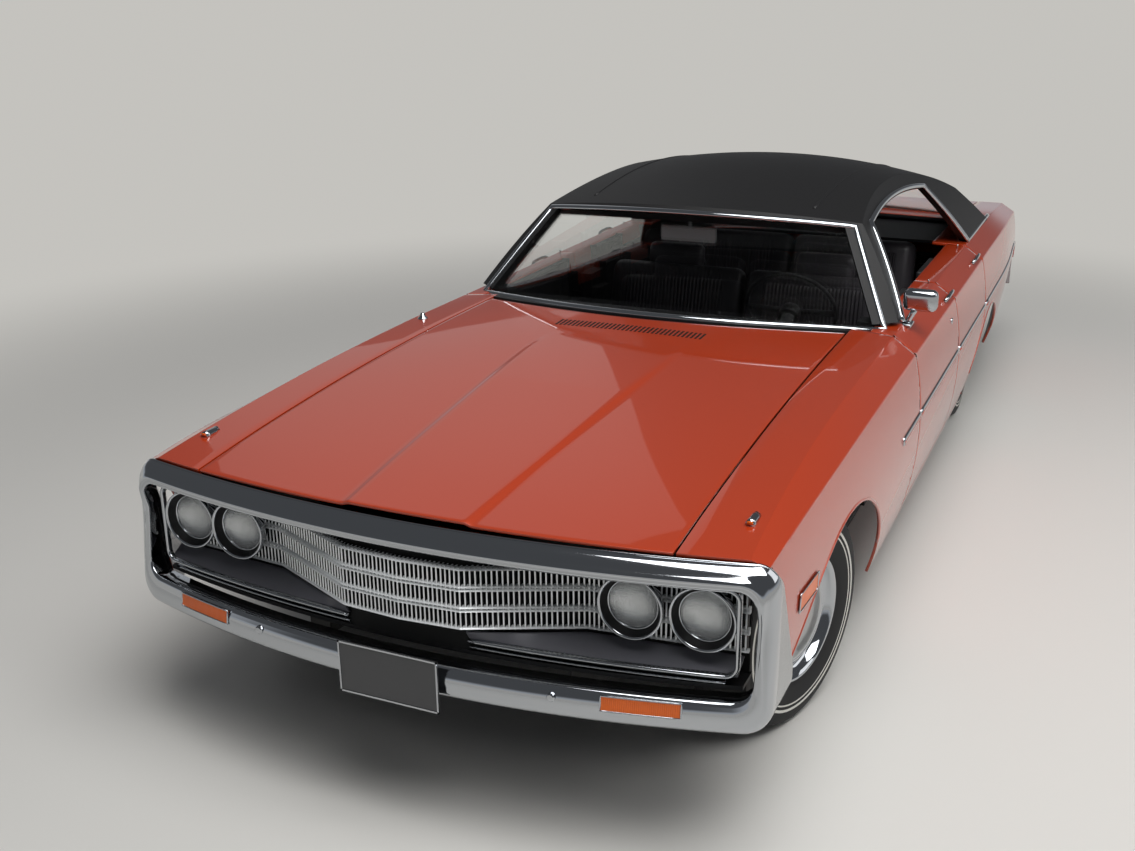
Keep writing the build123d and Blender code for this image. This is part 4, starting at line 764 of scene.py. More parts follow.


# Near-black dull material that is painted shade, for the dark hollows behind the grille and in the cowl slots
PAINTED_SHADE_BLACK = material("painted_shade.pit", "#060606", 0.0, 0.8)
bm = bmesh.new()
patch(bm, 60, 6, backing_point, FORWARD)
skin("grille_back", bm, [PAINTED_SHADE_BLACK], "body", BACKING_WALL)

# Lamp floors: grey painted steel trays below the lamps. A bright moulding edges each one, turns up at the outer
# end and runs back over the grille; a second line lies below it, and five thin ones between the trays.
MOUTH_Y = FRONT_AXLE - 0.872
MOUTH_SWEEP = 0.103
MOUTH_HALF = 0.905
FLOOR_Z = 0.537
FLOOR_RUN = (0.188, 0.893)
FLOOR_RISE = 0.03
FLOOR_IN = 0.01
FLOOR_WALL = 0.006
EDGE_CORNER = 0.03
EDGE_UP = 0.178
EDGE_SECTION = (0.013, 0.012)
EDGE_OUT = 0.002
LOWER_SECTION = (0.008, 0.01)
LOWER_DROP = 0.02
LOWER_BACK = 0.004
MIDDLE_HALF = 0.18
MIDDLE_Z = 0.515
MIDDLE_PITCH = 0.016
MIDDLE_BACK = 0.02
MIDDLE_STEP = 0.003
MIDDLE_SECTION = (0.004, 0.004)


def loop_y(x):
    return MOUTH_Y + MOUTH_SWEEP * (x / MOUTH_HALF) ** 2


# The trays' dark slate grey with painted light in it: the colour is lighter than their own, so that they show in
# the shade under the lamps
FLOOR_GREY_AND_PAINTED_LIGHT = material("floor_grey_painted_light", "#5c5c62", 0.1, 0.4)
bm = bmesh.new()
bright = bmesh.new()
corner_x = FLOOR_RUN[1] - EDGE_CORNER
low, high = FLOOR_Z + EDGE_CORNER, FLOOR_Z + EDGE_CORNER + EDGE_UP
bend = [math.pi * k / 16 for k in range(1, 9)]
edge = [(between((FLOOR_RUN[0], corner_x), k / 30), FLOOR_Z) for k in range(31)]
straight = edge[:]
edge += [(corner_x + EDGE_CORNER * math.sin(a), low - EDGE_CORNER * math.cos(a)) for a in bend]
edge += [(FLOOR_RUN[1], low + EDGE_UP * k / 6) for k in range(1, 7)]
edge += [(corner_x + EDGE_CORNER * math.cos(a), high + EDGE_CORNER * math.sin(a)) for a in bend]
edge += [(corner_x * (1 - k / 40), high + EDGE_CORNER) for k in range(1, 41)]
for side in (1, -1):
    def floor_point(u, v):
        x = between(FLOOR_RUN, u)
        y = loop_y(x) * (1 - v) + (grille_y(x) + FLOOR_IN) * v
        return Vector((side * x, y, FLOOR_Z + FLOOR_RISE * v))

    patch(bm, 40, 8, floor_point, Vector((0, 0, 1)))
    path = [Vector((side * x, loop_y(x) - EDGE_OUT, z)) for x, z in edge]
    tube(bright, path, [FORWARD] * len(path), half_round(*EDGE_SECTION, 6))
    path = [Vector((side * x, loop_y(x) + LOWER_BACK, z - LOWER_DROP)) for x, z in straight]
    tube(bright, path, [FORWARD] * len(path), half_round(*LOWER_SECTION, 6))
skin("lamp_floors", bm, [FLOOR_GREY_AND_PAINTED_LIGHT], "body", FLOOR_WALL)
across = [-MIDDLE_HALF + 2 * MIDDLE_HALF * k / 12 for k in range(13)]
for k in range(5):
    path = [Vector((x, loop_y(x) + MIDDLE_BACK + MIDDLE_STEP * k, MIDDLE_Z + MIDDLE_PITCH * k)) for x in across]
    tube(bright, path, [FORWARD] * len(path), half_round(*MIDDLE_SECTION, 4))
finish("front_mouldings", bright, [CHROME], "body")

# Headlamps: four sealed round glass lamps, each set deep in a bright bezel with a black throat. The fluted lens
# shows the bright dimpled reflector behind it, drawn coarser than the real one so that it shows.
def turned(bm, profile, centre, axis, steps=40, slot=0, slots=None):
    # A round piece: profile holds (radius, height along the axis) and closes on the axis where radius is 0
    axis = axis.normalized()
    flat = axis.orthogonal().normalized()
    other = axis.cross(flat)
    made = bmesh.ops.create_grid(bm, x_segments=steps, y_segments=len(profile) - 1, size=0.5)["verts"]
    keys = {}
    for vert in made:
        angle = 2 * math.pi * (vert.co.x + 0.5)
        k = round((vert.co.y + 0.5) * (len(profile) - 1))
        radius, height = profile[k]
        keys[vert] = k
        vert.co = centre + axis * height + (flat * math.cos(angle) + other * math.sin(angle)) * radius
    for face in {f for v in made for f in v.link_faces}:
        face.material_index = slots[min(keys[v] for v in face.verts)] if slots else slot
    bmesh.ops.remove_doubles(bm, verts=made, dist=1e-6)


LAMPS = ((0.612, 0.682), (0.799, 0.678))
LAMP_SET_OUT = 0.045
LAMP_GLASS = material("lamp_glass", "#f6f7f7", 0.0, 0.04, Transmission_Weight=0.93, IOR=1.3)
grain(LAMP_GLASS, 40, 0.9, 0.004, 0.0, "ShaderNodeTexWave")
REFLECTOR = material("chrome.reflector", "#f2f4f5", 0.85, 0.16)
grain(REFLECTOR, 260, 0.35, 0.002, 0.0, "ShaderNodeTexVoronoi")
BEZEL = [(0.074, -0.05), (0.086, -0.02), (0.0895, -0.003), (0.0885, 0.0015), (0.085, 0.002), (0.082, -0.002)]
LAMP_TUBE = [(0.082, -0.002), (0.077, -0.018), (0.071, -0.026)]
LENS_RING = [(0.071, -0.026), (0.0695, -0.022), (0.067, -0.023), (0.0655, -0.027)]
LENS = [(0.0655, -0.027), (0.056, -0.0215), (0.04, -0.0165), (0.022, -0.0135), (0.0, -0.0125)]
BOWL = [(0.0655, -0.0275), (0.055, -0.034), (0.038, -0.039), (0.02, -0.0415), (0.0, -0.042)]
bm = bmesh.new()
for side in (1, -1):
    for x, z in LAMPS:
        mid = Vector((side * x, grille_y(x) - LAMP_SET_OUT, z))
        for profile, slot in ((BEZEL, 0), (LAMP_TUBE, 3), (LENS_RING, 0), (LENS, 1), (BOWL, 2)):
            turned(bm, profile, mid, FORWARD, 48, slot)
finish("lamps", bm, [CHROME, LAMP_GLASS, REFLECTOR, TRIM_BLACK], "body", True, ["headlamps"])

# Front bumper: a bright loop round grille and lamps, slightly crowned across the band, rolled into the opening
# and back to hood and fenders; both outlines are rounded rectangles of half width, low, high and corner.
LOOP = (0.988, 0.4, 0.846, 0.065)
OPENING = (0.942, 0.49, 0.788, 0.05)
LOOP_FACE = ((0.358, -2.8525, 0.165), (0.846, -2.7655, 0.125))
LOOP_ROLL = 0.03
OPENING_ROLL = 0.012
LOOP_CROWN = 0.005
TOP_LEAN = 0.024
OPENING_DEEP = 0.06
BAR_DEEP = 0.08
LOOP_GAP = 0.012
BAR_TOP_Z = 0.6
END_BLEND = (0.92, 0.99)
END_SLANT = 0.16
LEAN_Z = (0.7, 0.76)


def loop_face(x, z):
    # The front of the loop: its height, place and sweep-back at the foot and at the top, straight between
    (low, foot, foot_sweep), (high, head, head_sweep) = LOOP_FACE
    t = (z - low) / (high - low)
    sweep = (x / LOOP[0]) ** 2
    return (foot + foot_sweep * sweep) * (1 - t) + (head + head_sweep * sweep) * t


def loop_back(x, z):
    # The rear edge: close to hood and fenders above, one depth behind the face below, slanted at the ends
    down = (SLANT_TOP - max(z, SLANT_LOW)) / (SLANT_TOP - SLANT_LOW)
    side = NOSE_TOP - PANEL_GAP + down * END_SLANT
    level = fender_front(abs(x), SLANT_TOP) - LOOP_GAP if z > BAR_TOP_Z else loop_face(x, z) + BAR_DEEP
    t = min(1, max(0, (abs(x) - END_BLEND[0]) / (END_BLEND[1] - END_BLEND[0])))
    return level * (1 - t) + side * t


def rounded(shape):
    # Points round a rounded rectangle, as many for the opening as for the outer edge
    half, low, high, corner = shape
    inset = half - corner
    turns = ((inset, low + corner, -90), (inset, high - corner, 0), (-inset, high - corner, 90),
             (-inset, low + corner, 180))
    spots = []
    for k, (x, z, start) in enumerate(turns):
        for j in range(9):
            a = math.radians(start + 90 * j / 8)
            spots.append(Vector((x + corner * math.cos(a), 0, z + corner * math.sin(a))))
        x1, z1, start1 = turns[(k + 1) % 4]
        a = math.radians(start1)
        end = Vector((x1 + corner * math.cos(a), 0, z1 + corner * math.sin(a)))
        count = 44 if k % 2 else 10
        begin = spots[-1]
        spots += [begin.lerp(end, j / count) for j in range(1, count)]
    return spots


def band_rows(band):
    # Rows across the band from the back of the opening to the outer edge: way from the opening, set-back
    rows = [(0.0, OPENING_DEEP)]
    turn = [math.pi * k / 8 for k in range(5)]
    rows += [(OPENING_ROLL * (1 - math.cos(a)), OPENING_ROLL * (1 - math.sin(a))) for a in turn]
    flat = band - OPENING_ROLL - LOOP_ROLL
    rows += [(OPENING_ROLL + flat * k / 6, -LOOP_CROWN * math.sin(math.pi * k / 6)) for k in range(1, 6)]
    turn = [math.pi * k / 12 for k in range(7)]
    return rows + [(band - LOOP_ROLL * (1 - math.sin(a)), LOOP_ROLL * (1 - math.cos(a))) for a in turn]


bm = bmesh.new()
inside, outside = rounded(OPENING), rounded(LOOP)
ways = len(band_rows(1)) + 1
made = bmesh.ops.create_grid(bm, x_segments=ways, y_segments=len(inside), size=0.5)["verts"]
for vert in made:
    k = round((vert.co.y + 0.5) * len(inside)) % len(inside)
    row = round((vert.co.x + 0.5) * ways) % ways
    a, b = inside[k], outside[k]
    band = (b - a).length
    if row == ways - 1:
        vert.co = Vector((b.x, loop_back(b.x, b.z), b.z))
    else:
        way, back = band_rows(band)[row]
        spot = a.lerp(b, way / band)
        lean = TOP_LEAN * (1 - way / band) * min(1, max(0, (spot.z - LEAN_Z[0]) / (LEAN_Z[1] - LEAN_Z[0])))
        vert.co = Vector((spot.x, loop_face(spot.x, spot.z) + back - lean, spot.z))
bmesh.ops.remove_doubles(bm, verts=made, dist=1e-6)
finish("loop_bumper", bm, [CHROME], "body", True, ["front_bumper"])

# Signal lamps let into the bar and marker lamps on the fender sides, each a fluted amber plastic lens in a
# bright rim, screwed on from behind
SIGNAL_RUN = (0.58, 0.78)
SIGNAL_Z = (0.444, 0.484)
SIGNAL_OUT = 0.002
MARKER_RUN = (-2.385, -2.225)
MARKER_Z = (0.606, 0.658)
MARKER_OUT = 0.004
LENS_RIM_R = 0.0025
bm = bmesh.new()
for side in (1, -1):
    def signal_point(u, v):
        x = side * between(SIGNAL_RUN, u)
        z = between(SIGNAL_Z, v)
        return Vector((x, loop_face(x, z) - LOOP_CROWN - SIGNAL_OUT, z))

    def marker_point(u, v):
        y = between(MARKER_RUN, u)
        z = between(MARKER_Z, v)
        return Vector((side * (side_x(y, z) + MARKER_OUT), y, z))

    for spot, out in ((signal_point, FORWARD), (marker_point, Vector((side, 0, 0)))):
        patch(bm, 12, 4, spot, out)
        rim = [(k / 10, 0) for k in range(10)] + [(1, k / 4) for k in range(4)]
        rim += [(1 - k / 10, 1) for k in range(10)] + [(0, 1 - k / 4) for k in range(4)]
        tube(bm, [spot(u, v) for u, v in rim], [out] * len(rim), ring(LENS_RIM_R, 8), 1, True)
finish("signal_lamps", bm, [AMBER, CHROME], "body", True, ["front_signal_lamps"])

# Front plate: a blank dark painted sheet with a raised bright edge, held on the bar, and the two bright heads
# of the bumper bolts beside it
PLATE_SIZE = (0.305, 0.152)
PLATE_Y = -2.856
PLATE_Z = 0.444
PLATE_EDGE_Y = -2.858
PLATE_EDGE = 0.005
PLATE_THICK = 0.004
BOLT_X = 0.453
BOLT_Z = 0.462
BOLT = [(0.012, -0.02), (0.012, 0.004), (0.009, 0.007), (0, 0.008)]
PLATE = material("steel.plate", "#4a4a4c", 0.1, 0.4)
bm = bmesh.new()
wide, high = PLATE_SIZE
block(bm, (0, PLATE_Y, PLATE_Z), (wide, PLATE_THICK, high), 0)
for side in (1, -1):
    edge_x, edge_z = side * (wide - PLATE_EDGE) / 2, side * (high - PLATE_EDGE) / 2
    block(bm, (0, PLATE_EDGE_Y, PLATE_Z + edge_z), (wide, PLATE_THICK, PLATE_EDGE), 1)
    block(bm, (edge_x, PLATE_EDGE_Y, PLATE_Z), (PLATE_EDGE, PLATE_THICK, high), 1)
for x in (BOLT_X, -BOLT_X):
    turned(bm, BOLT, Vector((x, loop_face(x, BOLT_Z) - LOOP_CROWN, BOLT_Z)), FORWARD, 16, 1)
finish("plate_and_bolts", bm, [PLATE, CHROME], "body", False)

# Side trim: a bright moulding with a painted middle, in one length per panel, chrome bar handles and locks on
# the doors, and painted lips rolled round the wheel arches
MOULD_Z = 0.65
MOULD_END_GAP = 0.004
MOULD_RUNS = (
    (-1.09, DOOR_LEAD - PANEL_GAP, "body"),
    (DOOR_LEAD, DOOR_SPLIT - MOULD_END_GAP, "door_front_"),
    (DOOR_SPLIT + PANEL_GAP, DOOR_TRAIL - MOULD_END_GAP, "door_rear_"),
    (DOOR_TRAIL + PANEL_GAP, TAIL - 0.17, "body"),
)
MOULD_SECTION = (0.03, 0.007)
MIDDLE_STRIP = (0.013, 0.0045)
STRIP_OUT = 0.0035
HANDLE_Y = {"front": 0.094, "rear": 0.902}
HANDLE_ROW = ("strip", 0.72)
HANDLE_BAR = [(-0.085, -0.006), (-0.08, 0.012), (-0.065, 0.02), (-0.03, 0.023), (0.03, 0.023), (0.065, 0.02),
              (0.08, 0.012), (0.085, -0.006)]
HANDLE_R = 0.008
LOCK = [(0.013, -0.004), (0.013, 0.003), (0.01, 0.005), (0, 0.005)]
LOCK_AHEAD = 0.08
LOCK_Z = 0.816
for side, name in ((1, "left"), (-1, "right")):
    out = Vector((side, 0, 0))
    for number, (start, end, body) in enumerate(MOULD_RUNS):
        rides = body + name if body.endswith("_") else body
        bm = bmesh.new()
        run = [between((start, end), k / 20) for k in range(21)]
        path = [Vector((side * side_x(y, MOULD_Z), y, MOULD_Z)) for y in run]
        tube(bm, path, [out] * len(run), half_round(*MOULD_SECTION), 0)
        tube(bm, [spot + out * STRIP_OUT for spot in path], [out] * len(run), half_round(*MIDDLE_STRIP), 1)
        finish(f"moulding_{name}_{number}", bm, [CHROME, PAINT], rides)
    for where, y in HANDLE_Y.items():
        bm = bmesh.new()
        spot = row_point(HANDLE_ROW, y, 0)
        off = Vector((side * 0.6, 0, 0.8))
        path = [Vector((side * spot.x, y + d, spot.z)) + off * h for d, h in HANDLE_BAR]
        tube(bm, path, [Vector((side * 0.8, 0, -0.6))] * len(path), ring(HANDLE_R))
        if where == "front":
            lock_y = y - LOCK_AHEAD
            turned(bm, LOCK, Vector((side * side_x(lock_y, LOCK_Z), lock_y, LOCK_Z)), out, 20)
        finish(f"handle_{where}_{name}", bm, [CHROME], f"door_{where}_{name}")

ARCH_ENDS = ((*ARCH_FRONT, 0.36, 0.44), (*ARCH_REAR, 0.36, 0.36))
ARCH_LIP_R = 0.006
ARCH_LIP_SINK = 0.003
bm = bmesh.new()
for side in (1, -1):
    for centre_y, centre_z, radius, low, high in ARCH_ENDS:
        first, last = math.asin((low - centre_z) / radius), math.pi - math.asin((high - centre_z) / radius)
        turn = [between((first, last), k / 48) for k in range(49)]
        spots = [(centre_y + radius * math.cos(a), centre_z + radius * math.sin(a)) for a in turn]
        path = [Vector((side * (side_x(y, z) - ARCH_LIP_SINK), y, z + ARCH_LIP_SINK)) for y, z in spots]
        tube(bm, path, [Vector((side, 0, 0))] * len(path), ring(ARCH_LIP_R, 8))
finish("arch_lips", bm, [PAINT], "body")

# Fender fittings: a small bright turn-signal repeater on top of each fender, with an amber window to the
# front, and a round bright stud near the windshield on the right
REPEATER = (0.862, -2.45)
REPEATER_RUN = (-0.03, -0.015, 0.015, 0.03)
REPEATER_SECTION = (0.026, 0.014)
REPEATER_WINDOW = (0.016, 0.004, 0.008)
REPEATER_WINDOW_AT = Vector((0, -0.031, 0.006))
STUD = [(0.02, 0), (0.019, 0.004), (0.01, 0.012), (0.008, 0.022), (0, 0.024)]
STUD_AT = (-0.84, -1.2)
UP = Vector((0, 0, 1))
bm = bmesh.new()
for side in (1, -1):
    base = Vector((side * REPEATER[0], REPEATER[1], top_z(REPEATER[1], REPEATER[0])))
    tube(bm, [base + Vector((0, d, 0)) for d in REPEATER_RUN], [UP] * 4, half_round(*REPEATER_SECTION), 0)
    block(bm, base + REPEATER_WINDOW_AT, REPEATER_WINDOW, 1)
turned(bm, STUD, Vector((*STUD_AT, top_z(STUD_AT[1], STUD_AT[0]))), UP, 20)
finish("fender_fittings", bm, [CHROME, AMBER], "body")

# Cowl slots: a row of air slots at the rear of the hood, each in three short lengths that follow its crown, drawn
# as thin near-black blocks whose colour is painted shade for the dark openings
SLOTS_A_SIDE = 17
SLOT_PITCH = 0.0165
SLOT_START = -1.165
SLOT_SIZE = (0.008, 0.023, 0.0012)
SLOT_LIFT = 0.0003
bm = bmesh.new()
for k in range(-SLOTS_A_SIDE, SLOTS_A_SIDE + 1):
    x = k * SLOT_PITCH
    for part in range(3):
        y = SLOT_START + SLOT_SIZE[1] * part
        block(bm, (x, y, top_z(y, x) + SLOT_LIFT), SLOT_SIZE)
finish("cowl_slots", bm, [PAINTED_SHADE_BLACK], "hood", False)

# Door mirror: a chromed die-cast head with rounded edges on a short arm, screwed to the left front door,
# with its glass to the rear
MIRROR = Vector((0.939, FRONT_AXLE + 1.32, 1.03))
MIRROR_HEAD = (0.128, 0.056, 0.084)
MIRROR_PANE = (0.112, 0.006, 0.07)
MIRROR_PANE_BACK = Vector((0, 0.0265, 0))
MIRROR_ARM = ((0.896, 0.93), (0.9, 0.95), (0.912, 0.975), (0.925, 1.0))
MIRROR_ARM_R = 0.011
MIRROR_FOOT = (0.036, 0.075, 0.014)
MIRROR_FOOT_AT = (0.899, MIRROR.y, 0.934)


def pad(bm, centre, size, tilt, rounding, slot=0, segments=4):
    # A box with well rounded edges, leaned about the cross axis
    made = bmesh.ops.create_cube(bm, size=1)["verts"]
    for vert in made:
        vert.co = Vector((vert.co.x * size[0], vert.co.y * size[1], vert.co.z * size[2]))
    edges = list({e for v in made for e in v.link_edges})
    out = bmesh.ops.bevel(bm, geom=edges, offset=rounding, affect="EDGES", segments=segments, profile=0.5,
                          material=-1)
    verts = {v for f in out["faces"] for v in f.verts} | {v for v in made if v.is_valid}
    turn = math.radians(tilt)
    for vert in verts:
        y, z = vert.co.y, vert.co.z
        vert.co.y = y * math.cos(turn) - z * math.sin(turn)
        vert.co.z = y * math.sin(turn) + z * math.cos(turn)
        vert.co += Vector(centre)
    for face in {f for v in verts for f in v.link_faces}:
        face.material_index = slot


bm = bmesh.new()
pad(bm, MIRROR, MIRROR_HEAD, 0, 0.024)
pad(bm, MIRROR + MIRROR_PANE_BACK, MIRROR_PANE, 0, 0.002, 1, 2)
tube(bm, [Vector((x, MIRROR.y, z)) for x, z in MIRROR_ARM], [Vector((0, 1, 0))] * 4, ring(MIRROR_ARM_R))
pad(bm, MIRROR_FOOT_AT, MIRROR_FOOT, 0, 0.006)
finish("door_mirror_dressed", bm, [CHROME, GLASS], "door_front_left", True, ["door_mirror"])

# Wheels and tyres: pressed steel wheels under a cover with a bright ring and a satin centre, and rubber tyres
# with two white lines on the outer wall and four grooves; the front pair is turned about its kingpins
STEER = math.radians(15.5)
HALF_TRACK = 0.7885
KINGPIN = 0.68
WHEEL_R = 0.35
TYRE_RUBBER = grain(material("tyre", "#161617", 0.0, 0.75), 300, 0.15, 0.0006)
WHITE_LINE = material("tyre.white_line", "#d8d6cf", 0.0, 0.6)
SATIN = material("wheel_steel", "#aeb0b0", 0.9, 0.3)
OUTER_WALL = [
    (0.349, 0.062), (0.345, 0.08), (0.334, 0.095), (0.315, 0.103), (0.295, 0.1063), (0.2945, 0.1063),
    (0.2855, 0.1068), (0.285, 0.1068), (0.276, 0.107), (0.2755, 0.107), (0.2705, 0.1068), (0.27, 0.1068),
    (0.25, 0.105), (0.225, 0.1), (0.206, 0.094), (0.199, 0.088),
]
WHITE_LINES = (5, 9)
TREAD = [
    (0.35, 0.052), (0.342, 0.05), (0.342, 0.044), (0.35, 0.042), (0.35, 0.024), (0.342, 0.022), (0.342, 0.016),
    (0.35, 0.014),
]
inner_half = [(r, -h) for r, h in reversed(OUTER_WALL)] + [(r, -h) for r, h in TREAD]
TYRE_SECTION = inner_half + list(reversed(TREAD)) + OUTER_WALL
first_out = len(TYRE_SECTION) - len(OUTER_WALL)
TYRE_SLOTS = [1 if k - first_out in WHITE_LINES else 0 for k in range(len(TYRE_SECTION))]
WHEEL_SECTION = [
    (0.19, -0.09), (0.2, -0.092), (0.197, 0.03), (0.2, 0.08), (0.205, 0.094), (0.2045, 0.1), (0.199, 0.103),
    (0.193, 0.1), (0.187, 0.09), (0.182, 0.076), (0.175, 0.069), (0.168, 0.068), (0.164, 0.071), (0.16, 0.07),
    (0.156, 0.074), (0.15, 0.084), (0.145, 0.088), (0.141, 0.086), (0.137, 0.084), (0.12, 0.087),
    (0.118, 0.0885), (0.1, 0.0905), (0.098, 0.092), (0.06, 0.0945), (0.03, 0.096), (0.0, 0.0965),
]
WHEEL_SLOTS = [2, 2, 2] + [0] * 15 + [1] * 8
BARREL = [(0.19, -0.09), (0.18, -0.088), (0.178, 0.02), (0.14, 0.015), (0.13, -0.055), (0.04, -0.06),
          (0.0, -0.06)]
for corner, side, y, steer in (("front_left", 1, FRONT_AXLE, STEER), ("front_right", -1, FRONT_AXLE, STEER),
                               ("rear_left", 1, REAR_AXLE, 0), ("rear_right", -1, REAR_AXLE, 0)):
    axis = Vector((side * math.cos(steer), -side * math.sin(steer), 0))
    hub = Vector((side * KINGPIN, y, WHEEL_R)) + axis * (HALF_TRACK - KINGPIN)
    bm = bmesh.new()
    turned(bm, TYRE_SECTION, hub, axis, 72, 0, TYRE_SLOTS)
    body = "wheel_" + corner
    finish("tyre_dressed_" + corner, bm, [TYRE_RUBBER, WHITE_LINE], body, True, ["tyre_" + corner])
    bm = bmesh.new()
    turned(bm, WHEEL_SECTION, hub, axis, 72, 0, WHEEL_SLOTS)
    turned(bm, BARREL, hub, axis, 48, 2)
    finish("wheel_dressed_" + corner, bm, [CHROME, SATIN, DARK_STEEL], body, True, [body])

# Seats: two benches in black vinyl over foam, each half a cushion and a back with a pleated middle, the front
# one with head restraints. Pleats are drawn as waves, and the vinyl has a fine grain.
# The black vinyl is drawn as dark grey, lighter than its own colour: painted light so that the seats show in the
# shaded cabin
SEAT_VINYL_AND_PAINTED_LIGHT = grain(material("seat_vinyl", "#39363a", 0.0, 0.38), 350, 0.2, 0.0005)
PLEAT_VINYL_AND_PAINTED_LIGHT = grain(material("seat_vinyl.pleat", "#343135", 0.0, 0.42), 18, 0.9, 0.01, 0.0, "ShaderNodeTexWave")
# Each pad of one half: place, size, lean in degrees, rounding, and 1 for a pleated one
FRONT_PADS = (
    ((0.335, -0.02, 0.45), (0.655, 0.52, 0.15), -6, 0.05, 0),
    ((0.335, -0.005, 0.475), (0.5, 0.4, 0.12), -6, 0.03, 1),
    ((0.335, 0.3, 0.67), (0.655, 0.13, 0.45), -13, 0.05, 0),
    ((0.335, 0.288, 0.67), (0.5, 0.125, 0.36), -13, 0.03, 1),
    ((0.36, 0.375, 0.925), (0.27, 0.085, 0.12), -8, 0.035, 0),
    ((0.42, 0.0, 0.315), (0.5, 0.46, 0.17), 0, 0.02, 0),
)
REAR_PADS = (
    ((0.315, 0.85, 0.46), (0.625, 0.52, 0.18), -4, 0.05, 0),
    ((0.315, 0.84, 0.485), (0.48, 0.42, 0.14), -4, 0.03, 1),
    ((0.315, 1.15, 0.69), (0.625, 0.14, 0.44), -13, 0.05, 0),
    ((0.315, 1.137, 0.68), (0.48, 0.135, 0.36), -13, 0.03, 1),
)
REAR_BASE = ((0, 0.86, 0.33), (1.26, 0.42, 0.16), 0, 0.02)


def half_benches(bm, pads):
    for side in (1, -1):
        for (x, y, z), size, lean, rounding, slot in pads:
            pad(bm, (side * x, y, z), size, lean, rounding, slot)


bm = bmesh.new()
half_benches(bm, FRONT_PADS)
front_seat = finish("front_bench", bm, [SEAT_VINYL_AND_PAINTED_LIGHT, PLEAT_VINYL_AND_PAINTED_LIGHT], "body", True, ["front_seat"])
bm = bmesh.new()
half_benches(bm, REAR_PADS)
pad(bm, *REAR_BASE)
rear_seat = finish("rear_bench", bm, [SEAT_VINYL_AND_PAINTED_LIGHT, PLEAT_VINYL_AND_PAINTED_LIGHT], "body", True, ["rear_seat"])

# Steering wheel: a thin black moulded rim on one flat spoke and a domed hub, on the shaft of the column
COLUMN_HEAD = Vector((0.38, FRONT_AXLE + 1.545, 0.862))
COLUMN_LEAN = math.radians(27)
COLUMN_AXIS = Vector((0, math.cos(COLUMN_LEAN), math.sin(COLUMN_LEAN)))
WHEEL_SIDE = Vector((1, 0, 0))
WHEEL_UP = COLUMN_AXIS.cross(WHEEL_SIDE)
RIM_OUT = 0.04
RIM_R = 0.187
RIM_SECTION_R = 0.009
SPOKE = (-0.184, -0.1, -0.04, 0.04, 0.1, 0.184)
SPOKE_DISH = 0.012
SPOKE_REACH = 0.19
SPOKE_SECTION = (0.03, 0.008)
HUB = [(0.045, -0.05), (0.045, -0.012), (0.036, 0.004), (0.02, 0.009), (0, 0.01)]
SHAFT = [(0.01, -0.12), (0.01, -0.04)]
bm = bmesh.new()
centre = COLUMN_HEAD + COLUMN_AXIS * RIM_OUT
turn = [2 * math.pi * k / 64 for k in range(64)]
path = [centre + (WHEEL_SIDE * math.cos(a) + WHEEL_UP * math.sin(a)) * RIM_R for a in turn]
tube(bm, path, [COLUMN_AXIS] * len(path), ring(RIM_SECTION_R), 0, True)
path = [centre + WHEEL_SIDE * d - COLUMN_AXIS * SPOKE_DISH * (1 - abs(d) / SPOKE_REACH) for d in SPOKE]
tube(bm, path, [COLUMN_AXIS] * len(path), half_round(*SPOKE_SECTION))
turned(bm, HUB, centre, COLUMN_AXIS, 32)
turned(bm, SHAFT, centre, COLUMN_AXIS, 16)
finish("steering_wheel_dressed", bm, [TRIM_BLACK], "steering_wheel", True, ["steering_wheel"])

# Lock knobs: a small chromed pin through the top of each door
KNOB = [(0.004, -0.01), (0.003, 0.008), (0.0045, 0.014), (0.004, 0.018), (0, 0.019)]
KNOB_X = 0.86
KNOB_Y = {"front": 0.12, "rear": 0.93}
for where, y in KNOB_Y.items():
    for side, name in ((1, "left"), (-1, "right")):
        bm = bmesh.new()
        turned(bm, KNOB, Vector((side * KNOB_X, y, top_z(y, KNOB_X))), UP, 12)
        finish(f"lock_knob_{where}_{name}", bm, [CHROME], f"door_{where}_{name}")

# Studio: a plain pale floor that fades into the backdrop away from the car, soft light from three large lamps
# and the sky, and a camera placed as in the photograph
FLOOR_HALF = 150
FLOOR_GLOW = 0.8
SKY_TONE = "#e6eaf0"
SKY_FADE = (0.03, 0.16)
FLOOR_TONE = "#d9d7d2"
WALL_LIGHT = 0.6
SKY_LIGHT = 0.12
FLOOR_FADE = (3.0, 6.5)
floor_mat = material("floor", FLOOR_TONE, 0.0, 0.6)
tree = floor_mat.node_tree
far = add_node(tree, "ShaderNodeEmission", Color=colour(FLOOR_TONE), Strength=FLOOR_GLOW)
where = add_node(tree, "ShaderNodeTexCoord")
reach = add_node(tree, "ShaderNodeVectorMath", operation="LENGTH")
fade = add_node(tree, "ShaderNodeMapRange", interpolation_type="SMOOTHSTEP")
fade.inputs["From Min"].default_value = FLOOR_FADE[0]
fade.inputs["From Max"].default_value = FLOOR_FADE[1]
path = add_node(tree, "ShaderNodeLightPath")
seen = add_node(tree, "ShaderNodeMath", operation="MAXIMUM")
seen_or_glass = add_node(tree, "ShaderNodeMath", operation="MAXIMUM")
share = add_node(tree, "ShaderNodeMath", operation="MULTIPLY")
mix = add_node(tree, "ShaderNodeMixShader")
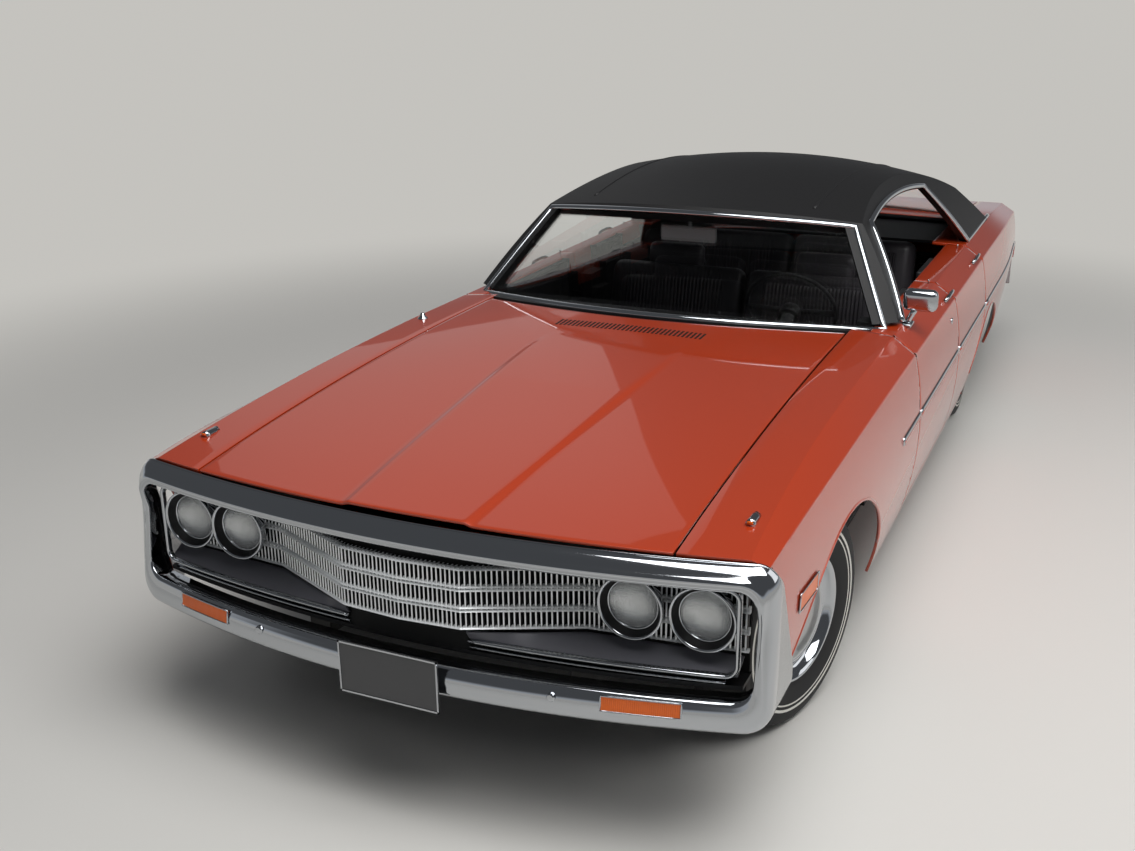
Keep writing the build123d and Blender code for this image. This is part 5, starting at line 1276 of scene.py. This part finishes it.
for start, end in (
    (where.outputs["Object"], reach.inputs[0]), (reach.outputs["Value"], fade.inputs["Value"]),
    (path.outputs["Is Camera Ray"], seen.inputs[0]), (path.outputs["Is Glossy Ray"], seen.inputs[1]),
    (seen.outputs[0], seen_or_glass.inputs[0]), (path.outputs["Is Transmission Ray"], seen_or_glass.inputs[1]),
    (seen_or_glass.outputs[0], share.inputs[0]), (fade.outputs["Result"], share.inputs[1]),
    (share.outputs[0], mix.inputs["Fac"]), (tree.nodes["Principled BSDF"].outputs[0], mix.inputs[1]),
    (far.outputs[0], mix.inputs[2]), (mix.outputs[0], tree.nodes["Material Output"].inputs["Surface"]),
):
    tree.links.new(start, end)
bm = bmesh.new()
bmesh.ops.create_grid(bm, x_segments=1, y_segments=1, size=FLOOR_HALF)
mesh = bpy.data.meshes.new("floor")
bm.to_mesh(mesh)
bm.free()
mesh.materials.append(floor_mat)
floor = bpy.data.objects.new("floor", mesh)
bpy.context.scene.collection.objects.link(floor)
floor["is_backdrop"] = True
world = bpy.data.worlds.new("studio")
bpy.context.scene.world = world
world.use_nodes = True
tree = world.node_tree
tree.nodes["Background"].inputs["Color"].default_value = colour(SKY_TONE)
where = add_node(tree, "ShaderNodeTexCoord")
parts = add_node(tree, "ShaderNodeSeparateXYZ")
wall = add_node(tree, "ShaderNodeMapRange", interpolation_type="SMOOTHSTEP")
for key, value in zip(("From Min", "From Max", "To Min", "To Max"), (*SKY_FADE, WALL_LIGHT, SKY_LIGHT)):
    wall.inputs[key].default_value = value
tree.links.new(where.outputs["Generated"], parts.inputs[0])
tree.links.new(parts.outputs["Z"], wall.inputs["Value"])
tree.links.new(wall.outputs["Result"], tree.nodes["Background"].inputs["Strength"])
# Each lamp: place, size in metres and power in watts
STUDIO_LAMPS = {
    "key": ((2.5, -3.0, 7.5), 6.0, 620),
    "side": ((7.0, 1.0, 4.5), 5.0, 110),
    "back": ((-5.0, 5.0, 5.5), 5.0, 24),
}
LAMPS_AIM = Vector((0, 0, 0.5))
for name, (where, size, power) in STUDIO_LAMPS.items():
    light = bpy.data.lights.new(name, "AREA")
    light.size = size
    light.energy = power
    lamp = bpy.data.objects.new(name, light)
    lamp.location = where
    lamp.rotation_euler = (LAMPS_AIM - Vector(where)).to_track_quat("-Z", "Y").to_euler()
    bpy.context.scene.collection.objects.link(lamp)
CAMERA_AT = (1.68579, -5.37893, 2.18647)
YAW, PITCH, ROLL = math.radians(24.6), math.radians(-19.229), math.radians(-0.657)
FOCAL_PIXELS = 1284.96
PHOTO_PIXELS = 1135
SENSOR = 36
forward = Vector((-math.sin(YAW) * math.cos(PITCH), math.cos(YAW) * math.cos(PITCH), math.sin(PITCH)))
right = Vector((math.cos(YAW), math.sin(YAW), 0))
up = right.cross(forward)
right, up = math.cos(ROLL) * right + math.sin(ROLL) * up, math.cos(ROLL) * up - math.sin(ROLL) * right
lens = bpy.data.cameras.new("camera")
lens.sensor_width = SENSOR
lens.lens = FOCAL_PIXELS / PHOTO_PIXELS * SENSOR
camera = bpy.data.objects.new("camera", lens)
turned_axes = Matrix((right, up, -forward)).transposed()
camera.matrix_world = Matrix.LocRotScale(Vector(CAMERA_AT), turned_axes, None)
bpy.context.scene.collection.objects.link(camera)
bpy.context.scene.camera = camera
bpy.context.scene.view_settings.view_transform = "Standard"
low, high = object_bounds()
